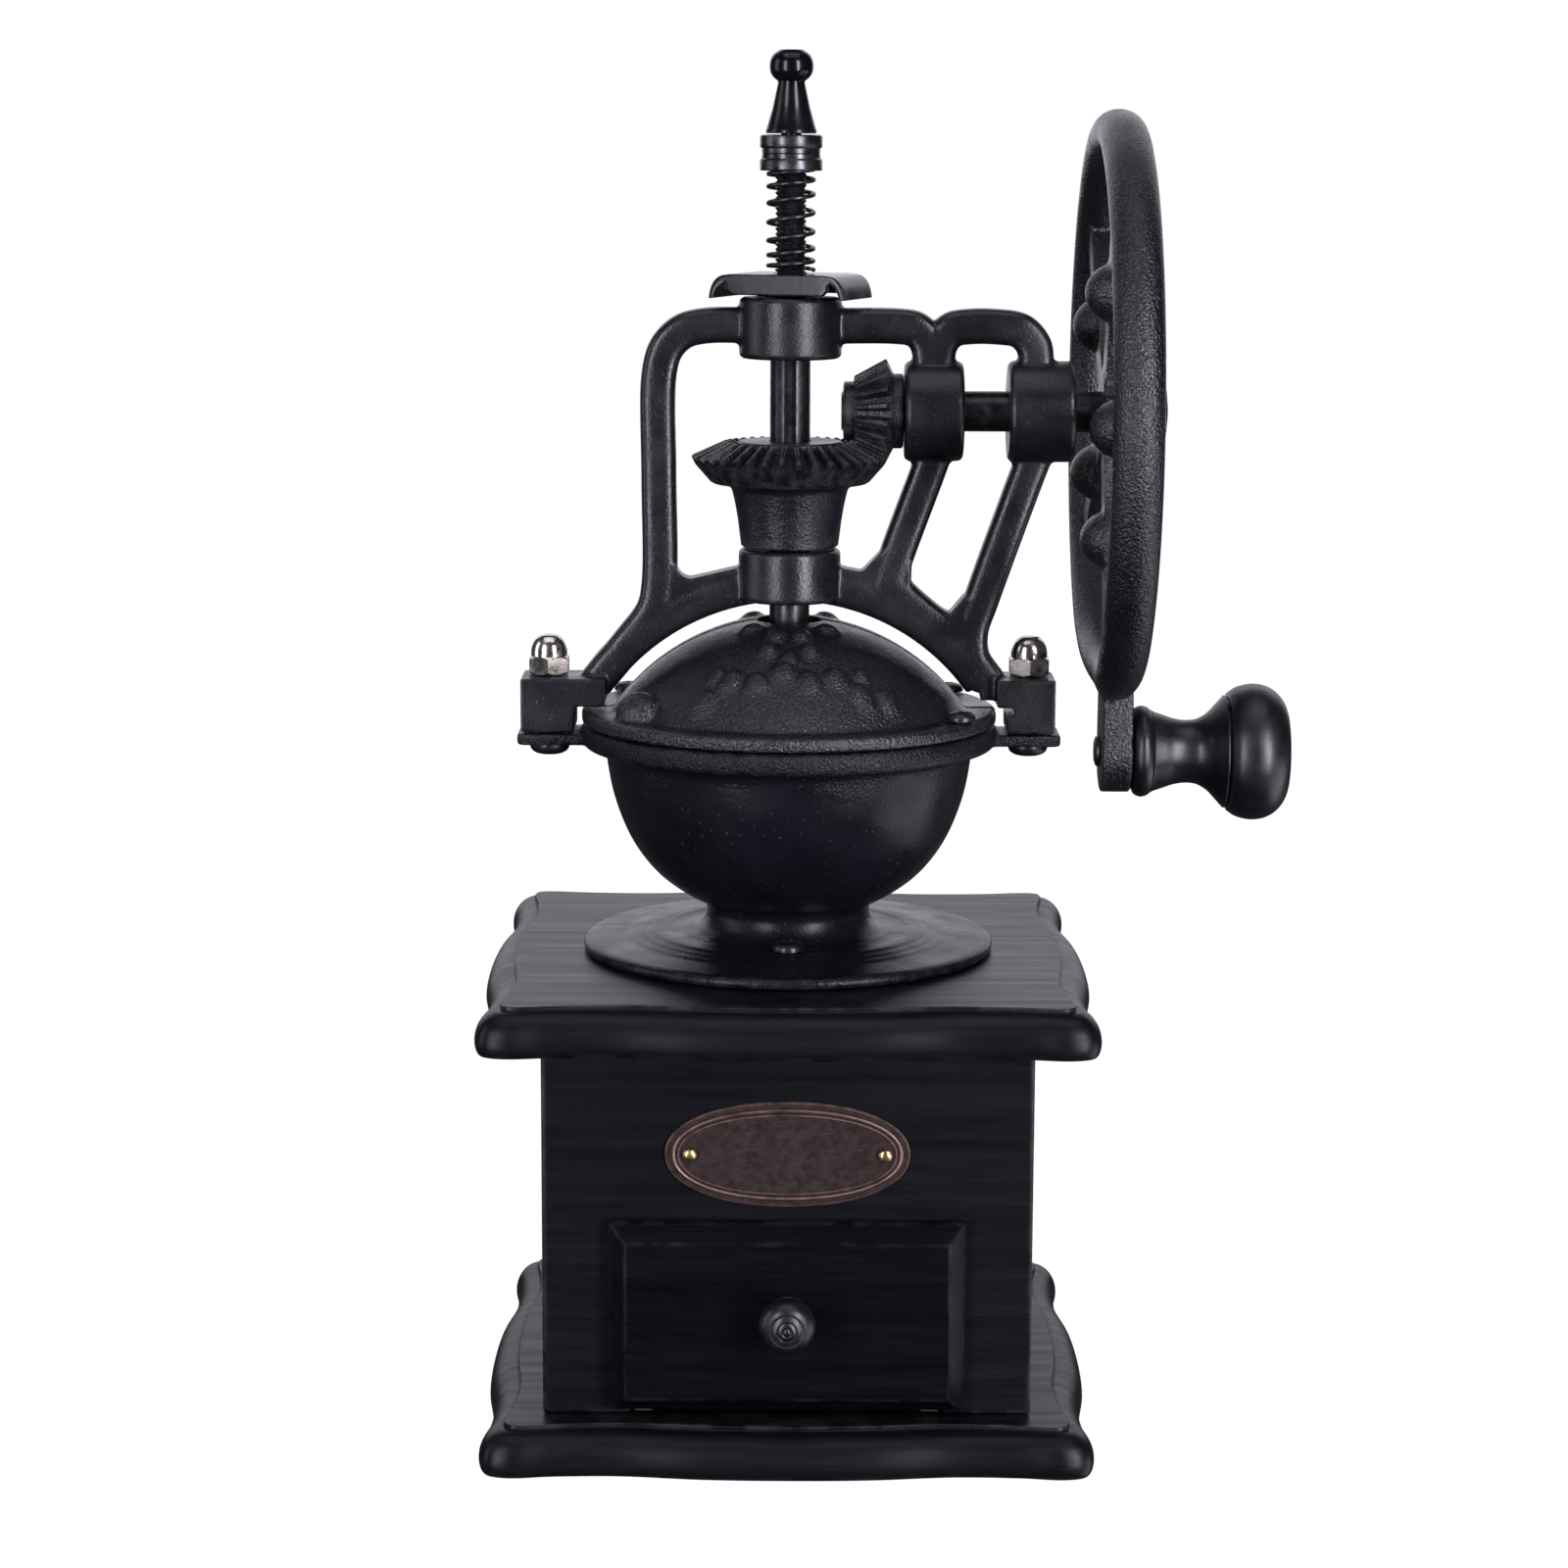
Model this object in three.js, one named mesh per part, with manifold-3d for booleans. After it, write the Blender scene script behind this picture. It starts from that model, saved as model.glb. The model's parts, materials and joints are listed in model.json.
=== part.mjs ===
// A hand-cranked coffee mill on a wooden drawer box: millimetres, +Z up, +X towards the handwheel.
// The origin is the centre of the base's underside, and the drawer opens towards -Y.
import * as THREE from "three";
import { mergeVertices } from "three/addons/utils/BufferGeometryUtils.js";
import Module from "manifold-3d";

const wasm = await Module();
wasm.setup();

// ---------------------------------------------------------------- driving dimensions
const GAP = 0.3; // left between pieces that touch

const PLATE = { thickness: 11.5, middle: 75.8, dip: 72.9, corner: 74.7, ledge: 66.9 };
const BOX = { halfX: 59.3, halfY: 59.5, wall: 8, bottom: PLATE.thickness + GAP, height: 91.5 };
const BOX_TOP = BOX.bottom + BOX.height;
const TOP_PLATE_Z = BOX_TOP + GAP;
const FOOT_Z = TOP_PLATE_Z + PLATE.thickness + GAP; // underside of the mill's iron foot
const CHUTE_R = 24.6; // hole in the top plate that the grounds fall through

const OPENING = { halfX: 38, top: 57.5 };
const DRAWER = { halfX: 37, bottom: 12.2, top: 54, back: 44, board: 4.5, floor: 3 };
const DRAWER_FRONT = { halfX: 43, bottom: 13.7, top: 60.6, thickness: 7.5, bevel: 3.9 };
const DRAWER_KNOB = { z: 39.5, r: 6.8, length: 14.6 };
const BADGE = { z: 77.1, halfX: 29.5, halfZ: 13, thickness: 0.9, nailX: 23.5 };

const RIM_Z = 173; // top of the bowl's lip, which the dome lid rests on
const RIM_R = 52;
const BURR_BORE_R = 16.6;
const BOLT_X = 60.2; // the bolts that hold the yoke to the bowl's ears
const EAR = { bottom: 167.8, top: 170.8, outer: 68, halfY: 8.25 };
const FOOT_SCREW = { circle: 28.6, count: 2 };

const DOME = { footR: 44, footZ: 177, apexZ: 199.5, shell: 2.5, hole: 8, rearExtra: 0.3 };
const LID_PIVOT = { x: 42.1, y: -24.3 };
const REAR_SCREW = { x: 41.2, y: 24.1 };

const SPINDLE_R = 5;
const THREAD_R = 4; // M8
const BORE_R = SPINDLE_R + GAP;
const SHAFT_Z = 251; // the wheel's axis, which meets the spindle's axis here
const TOP_BOSS = { r: 12.7, bottom: 264, top: 279 };
const LOW_BOSS = { r: 12.7, bottom: 203.7, top: 216.8 };
const INNER_BOSS = { r: 12.3, from: 28.3, to: 42.9 };
const OUTER_BOSS = { r: 12.5, from: 54, to: 70.3 };
const BEAD_R = 4.4; // the yoke's rounded bars
const ARCH = { z: 149, r: 59 }; // centre line of the yoke's arch over the lid

const GEAR_TEETH = 36;
const PINION_TEETH = 18;
const CONE = { outer: 27, inner: 18, addendum: 0.95, dedendum: 1.25 }; // along the pitch cones

const WHEEL = { x: 80.3, r: 68.8, section: 5.3, rimHalf: 6.1, hubR: 11, spokes: 5, bossAt: 32 };
const HANDLE_Z = 165.7;

// ---------------------------------------------------------------- shape helpers
const TAU = Math.PI * 2;
const vec = (x, y, z) => new THREE.Vector3(x, y, z);

// A closed manifold-3d solid from a three.js geometry, facing outwards.
function solid(geometry) {
  const bare = new THREE.BufferGeometry();
  const flat = geometry.index ? geometry.toNonIndexed() : geometry;
  bare.setAttribute("position", flat.getAttribute("position"));
  const merged = mergeVertices(bare, 1e-3);
  const triVerts = new Uint32Array(merged.index.array);
  const make = () =>
    new wasm.Manifold(
      new wasm.Mesh({ numProp: 3, vertProperties: merged.attributes.position.array, triVerts }),
    );
  const made = make();
  if (made.volume() > 0) return made;
  for (let i = 0; i < triVerts.length; i += 3) {
    [triVerts[i + 1], triVerts[i + 2]] = [triVerts[i + 2], triVerts[i + 1]];
  }
  return make();
}

function geometryOf(manifold) {
  const mesh = manifold.getMesh();
  const geometry = new THREE.BufferGeometry();
  geometry.setAttribute("position", new THREE.BufferAttribute(mesh.vertProperties, 3));
  geometry.setIndex(new THREE.BufferAttribute(mesh.triVerts, 1));
  return geometry;
}

const union = (...shapes) => shapes.map(solid).reduce((all, next) => all.add(next));
const join = (...shapes) => geometryOf(union(...shapes));
const cut = (shape, ...tools) => geometryOf(solid(shape).subtract(union(...tools)));
const outward = (shape) => geometryOf(solid(shape));

function block(x0, x1, y0, y1, z0, z1) {
  const made = new THREE.BoxGeometry(x1 - x0, y1 - y0, z1 - z0);
  return made.translate((x0 + x1) / 2, (y0 + y1) / 2, (z0 + z1) / 2);
}

// A profile of [radius, height] pairs turned about Z. It starts and ends on the axis, or closes.
function turned(profile, segments = 32) {
  const points = profile.map(([r, z]) => new THREE.Vector2(r, z));
  return outward(new THREE.LatheGeometry(points, segments).rotateX(Math.PI / 2));
}
const ring = (profile, segments) => turned([...profile, profile[0]], segments);
const rod = (r, z0, z1, segments = 16) =>
  turned([[0, z0], [r, z0], [r, z1], [0, z1]], segments);
const tubeRing = (r0, r1, z0, z1, segments = 24) =>
  ring([[r0, z0], [r1, z0], [r1, z1], [r0, z1]], segments);

// Turns a shape made along Z so that its Z runs along +X (at the shaft's height) or along -Y.
const alongX = (shape, z = SHAFT_Z) => shape.rotateY(Math.PI / 2).translate(0, 0, z);
const alongMinusY = (shape) => shape.rotateX(Math.PI / 2);

// Rings of points joined in order: capped at both ends, or closed on itself as a ring of rings.
function loft(rings, closed = false) {
  const count = rings[0].length;
  const corners = [];
  const facet = (...points) => points.forEach((p) => corners.push(p.x, p.y, p.z));
  const last = closed ? rings.length : rings.length - 1;
  for (let i = 0; i < last; i++) {
    const low = rings[i];
    const high = rings[(i + 1) % rings.length];
    for (let j = 0; j < count; j++) {
      const k = (j + 1) % count;
      facet(low[j], low[k], high[k]);
      facet(low[j], high[k], high[j]);
    }
  }
  if (!closed) {
    for (const [loop, flip] of [[rings[0], true], [rings.at(-1), false]]) {
      const middle = loop.reduce((sum, p) => sum.add(p), vec(0, 0, 0)).divideScalar(count);
      for (let j = 0; j < count; j++) {
        const k = (j + 1) % count;
        if (flip) facet(middle, loop[k], loop[j]);
        else facet(middle, loop[j], loop[k]);
      }
    }
  }
  const geometry = new THREE.BufferGeometry();
  geometry.setAttribute("position", new THREE.Float32BufferAttribute(corners, 3));
  return outward(geometry);
}

function circlePoints(r, sides) {
  return Array.from({ length: sides }, (_, i) => {
    const turn = (TAU * i) / sides;
    return new THREE.Vector2(r * Math.cos(turn), r * Math.sin(turn));
  });
}

// A round bar of radius r along a curve.
function bar(curve, r, steps, sides = 8) {
  const section = new THREE.Shape(circlePoints(r, sides));
  return new THREE.ExtrudeGeometry(section, { steps, extrudePath: curve, bevelEnabled: false });
}
const spline = (points) =>
  new THREE.CatmullRomCurve3(points.map(([x, z]) => vec(x, 0, z)), false, "centripetal");

// A flat plate in the XZ plane, centred on Y = 0.
function web(points, thickness) {
  const shape = new THREE.Shape(points.map(([x, z]) => new THREE.Vector2(x, z)));
  const made = new THREE.ExtrudeGeometry(shape, { depth: thickness, bevelEnabled: false });
  return made.rotateX(Math.PI / 2).translate(0, thickness / 2, 0);
}

function arcPoints(cx, cz, r, fromDeg, toDeg, steps) {
  return Array.from({ length: steps + 1 }, (_, i) => {
    const turn = THREE.MathUtils.degToRad(fromDeg + ((toDeg - fromDeg) * i) / steps);
    return [cx + r * Math.cos(turn), cz + r * Math.sin(turn)];
  });
}

const hexRod = (acrossCorners, z0, z1) => rod(acrossCorners / 2, z0, z1, 6);

// ---------------------------------------------------------------- materials and nodes
const material = (color, roughness, metalness) =>
  new THREE.MeshStandardMaterial({ color, roughness, metalness });
const blackWood = () => material(0x1b1a1d, 0.6, 0);
const innerWood = () => material(0x6d5133, 0.8, 0);
const castIron = () => material(0x1c1b20, 0.65, 0.6);
const satinIron = () => material(0x1a1a1e, 0.4, 0.6);
const glossIron = () => material(0x0e0e10, 0.15, 0.7);
const blackSteel = () => material(0x202024, 0.3, 0.9);
const brightSteel = () => material(0xc9c6bd, 0.25, 1);
const brass = () => material(0xb8964a, 0.35, 1);
const bronze = () => material(0x3a2823, 0.5, 0.8);

const mill = new THREE.Group();
mill.name = "coffee_mill";

function add(name, geometry, finish, parent = mill) {
  const mesh = new THREE.Mesh(geometry, finish);
  mesh.name = name;
  parent.add(mesh);
  return mesh;
}

// ---------------------------------------------------------------- wooden plates
// A quarter of the wavy outline runs from the middle of the front to the middle of the right side.
function wavyOutline(middle, dip, corner) {
  const half = [
    [0, middle],
    [0.27 * middle, middle - 0.6],
    [0.54 * middle, dip],
    [0.76 * middle, dip + 0.25 * (corner - dip)],
    [corner - 7.5, corner - 0.2],
    [corner - 2.1, corner - 2.1],
  ];
  const mirrored = half.slice(1, -1).reverse();
  const quarter = [...half.map(([a, b]) => [a, -b]), ...mirrored.map(([a, b]) => [b, -a])];
  const points = [];
  for (let turn = 0; turn < 4; turn++) {
    for (const [x, y] of quarter) {
      const spin = vec(x, y, 0).applyAxisAngle(vec(0, 0, 1), (turn * Math.PI) / 2);
      points.push(spin);
    }
  }
  return new THREE.CatmullRomCurve3(points, true, "centripetal").getPoints(48).slice(0, -1);
}

// A board with a thumbnail edge: a small ledge at the top, a round nose and a tucked-in underside.
function mouldedPlate(bottom) {
  const outer = wavyOutline(PLATE.middle, PLATE.dip, PLATE.corner);
  const inner = wavyOutline(PLATE.ledge + 1.8, PLATE.ledge - 0.6, PLATE.ledge);
  const noseZ = 3.1;
  const ledgeZ = PLATE.thickness - 1;
  const levels = [[0.82, 0], [0.96, 1]];
  const arcSteps = 3;
  for (let i = 0; i <= arcSteps; i++) {
    const turn = (i / arcSteps) * (Math.PI / 2) * 0.94;
    levels.push([Math.cos(turn), noseZ + (ledgeZ - noseZ) * Math.sin(turn)]);
  }
  levels.push([0, ledgeZ + 0.1], [0, PLATE.thickness]);
  const rings = levels.map(([out, z]) =>
    inner.map((p, i) => vec(0, 0, 0).lerpVectors(p, outer[i], out).setZ(bottom + z)),
  );
  return loft(rings);
}

function buildBoxWood() {
  const screwSpots = [[-1, -1], [1, -1], [-1, 1], [1, 1]].map(([sx, sy]) => [
    sx * (BOX.halfX - BOX.wall / 2),
    sy * 30,
  ]);
  const sinks = screwSpots.flatMap(([x, y]) => [
    rod(4.1, -1, 3.7, 12).translate(x, y, 0),
    rod(2.1, 3, PLATE.thickness + 1, 8).translate(x, y, 0),
  ]);
  add("base_plate", cut(mouldedPlate(0), ...sinks), blackWood());

  const screwProfile = [[0, 0.5], [3.6, 0.5], [3.6, 1], [1.75, 3.3], [1.75, 26], [0, 28]];
  screwSpots.forEach(([x, y], i) => {
    add(`base_screw_${i + 1}`, turned(screwProfile, 12), blackSteel()).position.set(x, y, 0);
  });

  const insideY = BOX.halfY - BOX.wall - GAP;
  for (const [name, side] of [["box_left_panel", -1], ["box_right_panel", 1]]) {
    const near = side * (BOX.halfX - BOX.wall);
    const far = side * BOX.halfX;
    const panel = block(
      Math.min(near, far), Math.max(near, far), -insideY, insideY, BOX.bottom, BOX_TOP,
    );
    const holes = screwSpots
      .filter(([x]) => x * side > 0)
      .map(([x, y]) => rod(2.1, BOX.bottom - 1, 29, 8).translate(x, y, 0));
    add(name, cut(panel, ...holes), blackWood());
  }
  const back = block(
    -BOX.halfX, BOX.halfX, BOX.halfY - BOX.wall, BOX.halfY, BOX.bottom, BOX_TOP,
  );
  add("box_back_panel", back, blackWood());

  const front = block(
    -BOX.halfX, BOX.halfX, -BOX.halfY, -BOX.halfY + BOX.wall, BOX.bottom, BOX_TOP,
  );
  const doorway = block(
    -OPENING.halfX, OPENING.halfX, -BOX.halfY - 1, -BOX.halfY + BOX.wall + 1,
    BOX.bottom - 1, OPENING.top,
  );
  const nailHoles = [-1, 1].map((side) =>
    alongMinusY(rod(1.1, BOX.halfY - 6.5, BOX.halfY + 1, 12)).translate(
      side * BADGE.nailX, 0, BADGE.z,
    ),
  );
  add("box_front_panel", cut(front, doorway, ...nailHoles), blackWood());

  const footHoles = footScrewSpots().map(([x, y]) =>
    rod(2.1, FOOT_Z - 11, FOOT_Z + 1, 12).translate(x, y, 0),
  );
  const chute = rod(CHUTE_R, TOP_PLATE_Z - 1, FOOT_Z + 1, 32);
  add("top_plate", cut(mouldedPlate(TOP_PLATE_Z), chute, ...footHoles), blackWood());

  for (const [name, side] of [["drawer_guide_left", -1], ["drawer_guide_right", 1]]) {
    const middle = side * (OPENING.halfX + 2.7);
    const guide = block(middle - 3, middle + 3, -insideY, insideY, BOX.bottom, BOX.bottom + 8);
    add(name, guide, innerWood());
  }
}

// ---------------------------------------------------------------- drawer and badge
function buildDrawer() {
  const frontY = -BOX.halfY - GAP;
  const faceY = frontY - DRAWER_FRONT.thickness;
  const slabY = frontY - 2.6;
  const outline = (inset, y) => {
    const x = DRAWER_FRONT.halfX - inset;
    const low = DRAWER_FRONT.bottom + inset;
    const high = DRAWER_FRONT.top - inset;
    return [vec(-x, y, low), vec(x, y, low), vec(x, y, high), vec(-x, y, high)];
  };
  const bevelled = loft([
    outline(0, frontY), outline(0, slabY), outline(DRAWER_FRONT.bevel, faceY),
  ]);
  const screwHole = alongMinusY(rod(2, -frontY - 1, -faceY + 1, 16));
  add("drawer_front", cut(bevelled, screwHole.translate(0, 0, DRAWER_KNOB.z)), blackWood());

  const sideFront = -BOX.halfY;
  const inner = DRAWER.halfX - DRAWER.board;
  for (const [name, side] of [["drawer_left_side", -1], ["drawer_right_side", 1]]) {
    const x0 = side < 0 ? -DRAWER.halfX : inner;
    add(
      name,
      block(x0, x0 + DRAWER.board, sideFront, DRAWER.back, DRAWER.bottom, DRAWER.top),
      innerWood(),
    );
  }
  const between = inner - GAP;
  const backFrom = DRAWER.back - DRAWER.board;
  add(
    "drawer_back",
    block(-between, between, backFrom, DRAWER.back, DRAWER.bottom, DRAWER.top),
    innerWood(),
  );
  const floorZ = DRAWER.bottom + 0.8;
  add(
    "drawer_floor",
    block(-between, between, sideFront, backFrom - GAP, floorZ, floorZ + DRAWER.floor),
    innerWood(),
  );

  const r = DRAWER_KNOB.r;
  const knobProfile = [
    [2, 0], [4.6, 0], [4.9, 1.2], [3.7, 2.6], [3.6, 4.4], [5.4, 6], [r, 8.8],
    [6.3, 11.4], [4.4, 13.6], [1.6, DRAWER_KNOB.length], [0, DRAWER_KNOB.length],
    [0, 9], [2, 9], [2, 0],
  ];
  const knob = add("drawer_knob", turned(knobProfile, 14), blackWood());
  knob.rotation.x = Math.PI / 2;
  knob.position.set(0, faceY - GAP, DRAWER_KNOB.z);

  const screwProfile = [[0, 0], [2.4, 0], [3.6, 0.8], [3.6, 1.8], [1.7, 1.8], [1.7, 16], [0, 17]];
  const screw = add("drawer_knob_screw", turned(screwProfile, 12), blackSteel());
  screw.rotation.x = Math.PI / 2;
  screw.position.set(0, frontY + 1.8 + GAP, DRAWER_KNOB.z);
}

function ovalOutline(halfX, halfZ, points) {
  // A superellipse a little fuller than an ellipse, as a stamped maker's plate has.
  const power = 2 / 2.15;
  return Array.from({ length: points }, (_, i) => {
    const turn = (TAU * i) / points;
    const c = Math.cos(turn);
    const s = Math.sin(turn);
    return new THREE.Vector2(
      halfX * Math.sign(c) * Math.abs(c) ** power,
      halfZ * Math.sign(s) * Math.abs(s) ** power,
    );
  });
}

function buildBadge() {
  const back = -BOX.halfY - GAP;
  const shape = new THREE.Shape(ovalOutline(BADGE.halfX, BADGE.halfZ, 36));
  for (const side of [-1, 1]) {
    const hole = circlePoints(1.1, 12).map((p) => p.add(new THREE.Vector2(side * BADGE.nailX, 0)));
    shape.holes.push(new THREE.Path(hole));
  }
  const plate = new THREE.ExtrudeGeometry(shape, { depth: BADGE.thickness, bevelEnabled: false });
  const badge = add("nameplate", outward(plate), bronze());
  badge.rotation.x = Math.PI / 2;
  badge.position.set(0, back, BADGE.z);

  const nailProfile = [[0, -5], [0.8, -4], [0.8, 0], [1.7, 0], [1.4, 0.8], [0, 1.2]];
  for (const [name, side] of [["nameplate_nail_left", -1], ["nameplate_nail_right", 1]]) {
    const nail = add(name, turned(nailProfile, 12), brass());
    nail.rotation.x = Math.PI / 2;
    nail.position.set(side * BADGE.nailX, back - BADGE.thickness - GAP, BADGE.z);
  }
}

// ---------------------------------------------------------------- iron bowl and outer burr
function footScrewSpots() {
  return Array.from({ length: FOOT_SCREW.count }, (_, i) => {
    const turn = -Math.PI / 2 + (TAU * i) / FOOT_SCREW.count;
    return [FOOT_SCREW.circle * Math.cos(turn), FOOT_SCREW.circle * Math.sin(turn)];
  });
}

const lidScrewSpots = [
  [LID_PIVOT.x, LID_PIVOT.y], [REAR_SCREW.x, REAR_SCREW.y], [-REAR_SCREW.x, REAR_SCREW.y],
];
const burrScrewSpots = [[-21, 0], [21, 0]];

function buildBowl() {
  const foot = [
    [51.7, FOOT_Z], [51.7, 117.7], [50.8, 118.2], [34, 119.2], [33, 120.2], [23.8, 120.2], [21.8, 121.8],
    [20.4, 125],
  ];
  const outside = [
    [24.4, 128.8], [28.9, 131.7], [36.5, 139.2], [41.2, 146.8], [44.4, 155.5],
    [45.9, 165], [47.4, 167.1],
  ];
  const lip = [[51.2, 167.5], [RIM_R, 168.4], [RIM_R, RIM_Z], [42.5, RIM_Z]];
  const inside = [
    [42, 163], [39.6, 151.5], [33.5, 141], [24.5, 134.3], [17.6, 131.5],
  ];
  const bore = [[BURR_BORE_R, 130], [BURR_BORE_R, FOOT_Z]];
  const shell = ring([...foot, ...outside, ...lip, ...inside, ...bore], 30);
  const ears = [-1, 1].map((side) => {
    const x0 = Math.min(side * 45, side * EAR.outer);
    const x1 = Math.max(side * 45, side * EAR.outer);
    const tongue = block(x0, x1, -EAR.halfY, EAR.halfY, EAR.bottom, EAR.top);
    const hollow = rod(44.5, EAR.bottom - 1, EAR.top + 1, 32);
    return cut(tongue, hollow);
  });
  const holes = [
    ...[-1, 1].map((side) => rod(3.3, 160, 175).translate(side * BOLT_X, 0, 0)),
    ...footScrewSpots().map(([x, y]) => rod(2.1, 110, 125, 16).translate(x, y, 0)),
    ...lidScrewSpots.map(([x, y]) => rod(2.2, 165, 175, 16).translate(x, y, 0)),
    ...burrScrewSpots.map(([x, y]) => rod(1.5, 110, 119.5, 12).translate(x, y, 0)),
  ];
  add("bowl", cut(join(shell, ...ears), ...holes), castIron());

  const panHead = [[0, -10], [1.75, -9], [1.75, 0], [4, 0], [3.7, 1.3], [2.2, 2.1], [0, 2.3]];
  footScrewSpots().forEach(([x, y], i) => {
    const screw = add(`foot_screw_${i + 1}`, turned(panHead, 12), blackSteel());
    screw.position.set(x, y, 120.5);
  });
}

// A grinding cone or ring: every second point of each level is a groove of the given depth.
function ridgedRing(levels, ridges, groove, twist) {
  return levels.map(([r, z, grooved], row) =>
    Array.from({ length: ridges * 2 }, (_, i) => {
      const turn = (TAU * i) / (ridges * 2) + row * twist;
      const radius = grooved && i % 2 ? r + groove : r;
      return vec(radius * Math.cos(turn), radius * Math.sin(turn), z);
    }),
  );
}

function buildBurrs(spindleGroup) {
  const flangeZ = FOOT_Z - GAP;
  const outer = loft(
    ridgedRing(
      [
        [13.4, flangeZ - 2.5, true], [11.2, 125, true], [14.6, 131.2, true], [16.2, 131.2],
        [16.2, flangeZ + 0.1], [23.6, flangeZ], [23.6, flangeZ - 2.5],
      ],
      16, 1.1, 0,
    ),
    true,
  );
  const holes = burrScrewSpots.map(([x, y]) => rod(1.5, 110, 118, 12).translate(x, y, 0));
  add("outer_burr", cut(outer, ...holes), blackSteel());
  const screwProfile = [[0, 0], [2.1, 0], [2.1, 1.8], [1.2, 1.8], [1.2, 8], [0, 8.6]];
  burrScrewSpots.forEach(([x, y], i) => {
    const screw = add(`burr_screw_${i + 1}`, turned(screwProfile, 12), blackSteel());
    screw.position.set(x, y, flangeZ - 2.5 - GAP - 1.8);
  });

  const inner = loft(
    ridgedRing(
      [
        [4.3, 115.8], [11.6, 115.8], [12.3, 116.6, true], [9.7, 125, true], [6.8, 136, true],
        [6, 137.7], [4.3, 137.7],
      ],
      12, -1, 0.09,
    ),
    true,
  );
  add("inner_burr", inner, blackSteel(), spindleGroup);
  const nut = cut(hexRod(14.5, 110.6, 115.5), rod(THREAD_R + GAP, 100, 120, 16));
  add("burr_nut", nut, blackSteel(), spindleGroup);
}

// ---------------------------------------------------------------- dome lid, in two halves
function domeShell(extra) {
  const rise = DOME.apexZ - DOME.footZ + extra;
  const radius = (DOME.footR ** 2 + rise ** 2) / (2 * rise);
  const centreZ = DOME.apexZ + extra - radius;
  const steps = 5;
  const arc = (r, from, to) =>
    Array.from({ length: steps + 1 }, (_, i) => {
      const x = from + ((to - from) * i) / steps;
      return [x, centreZ + Math.sqrt(r * r - x * x)];
    });
  const flange = [[51.3, DOME.footZ], [RIM_R, 176.3], [RIM_R, RIM_Z + 0.4], [42.3, RIM_Z + 0.4]];
  const crown = arc(radius, DOME.hole, DOME.footR);
  const under = arc(radius - DOME.shell, 42, DOME.hole);
  return ring([...crown, ...flange, ...under], 32);
}

function buildLid() {
  const halfGap = 0.4;
  const behind = block(-60, 60, -halfGap, 60, 150, 220);
  const ahead = block(-60, 60, -60, halfGap, 150, 220);
  const pivot = [LID_PIVOT.x, LID_PIVOT.y, 0];
  // The corner behind the pivot is rounded about it, so that the half clears its neighbour.
  const swing = rod(23.4, 150, 220, 40).translate(...pivot);
  const keepCorner = block(LID_PIVOT.x, 60, LID_PIVOT.y, 1, 150, 220);
  const corner = geometryOf(solid(keepCorner).subtract(solid(swing)));
  const grip = new THREE.SphereGeometry(1, 12, 8).scale(6, 6, 4.8).translate(-36.2, -22, 178.4);
  const reach = rod(2.2, 170, 180, 16).translate(...pivot);
  const front = join(cut(domeShell(0), behind, corner, reach), cut(grip, behind));
  add("front_lid", front, castIron());

  const holes = [-1, 1].map((side) =>
    rod(2.2, 170, 180, 16).translate(side * REAR_SCREW.x, REAR_SCREW.y, 0),
  );
  add("rear_cover", cut(domeShell(DOME.rearExtra), ahead, ...holes), castIron());

  const screwZ = DOME.footZ + GAP;
  const profile = [[0, -8.3], [1.9, -8], [1.9, 0], [3.7, 0], [3.4, 1.2], [2, 2], [0, 2.2]];
  const names = ["lid_pivot_screw", "rear_cover_screw_1", "rear_cover_screw_2"];
  lidScrewSpots.forEach(([x, y], i) => {
    add(names[i], turned(profile, 12), blackSteel()).position.set(x, y, screwZ);
  });
}

// ---------------------------------------------------------------- yoke
function yokeBars() {
  const topZ = 271.9;
  const left = spline([
    [-6, topZ], [-21, topZ], [-26.7, topZ - 1.5], [-30.7, topZ - 5.5], [-32.5, 260],
    [-32.6, 235], [-32.6, 208], [-34.1, 201.1], [-40.6, 192.3], [-48.6, 182.7],
  ]);
  const archEnd = 35.4;
  const arch = spline(arcPoints(0, ARCH.z, ARCH.r, archEnd, 180 - archEnd, 16));
  const topRight = spline([
    [6, topZ], [51, topZ], [56.9, topZ - 1], [60.1, topZ - 4.4], [60.7, 265], [60.4, 258],
  ]);
  const innerPost = spline([[35.5, topZ], [35.5, 258]]);
  const innerLeg = spline([[36.4, 242], [33.9, 234.9], [26.4, 214.1], [23.4, 204]]);
  const outerLeg = spline([
    [62, 243], [59.3, 236], [48.1, 204.2], [45.5, 196], [46, 189.5], [50.3, 183],
  ]);
  const windowSill = spline([[25.9, 206.9], [31.5, 201.7], [38, 197.1], [45, 196]]);
  return [
    bar(left, BEAD_R, 15), bar(arch, BEAD_R, 13), bar(topRight, BEAD_R, 9),
    bar(innerPost, BEAD_R + 0.9, 1), bar(innerLeg, BEAD_R, 3), bar(outerLeg, BEAD_R, 7),
    bar(windowSill, BEAD_R, 3),
  ];
}

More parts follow.
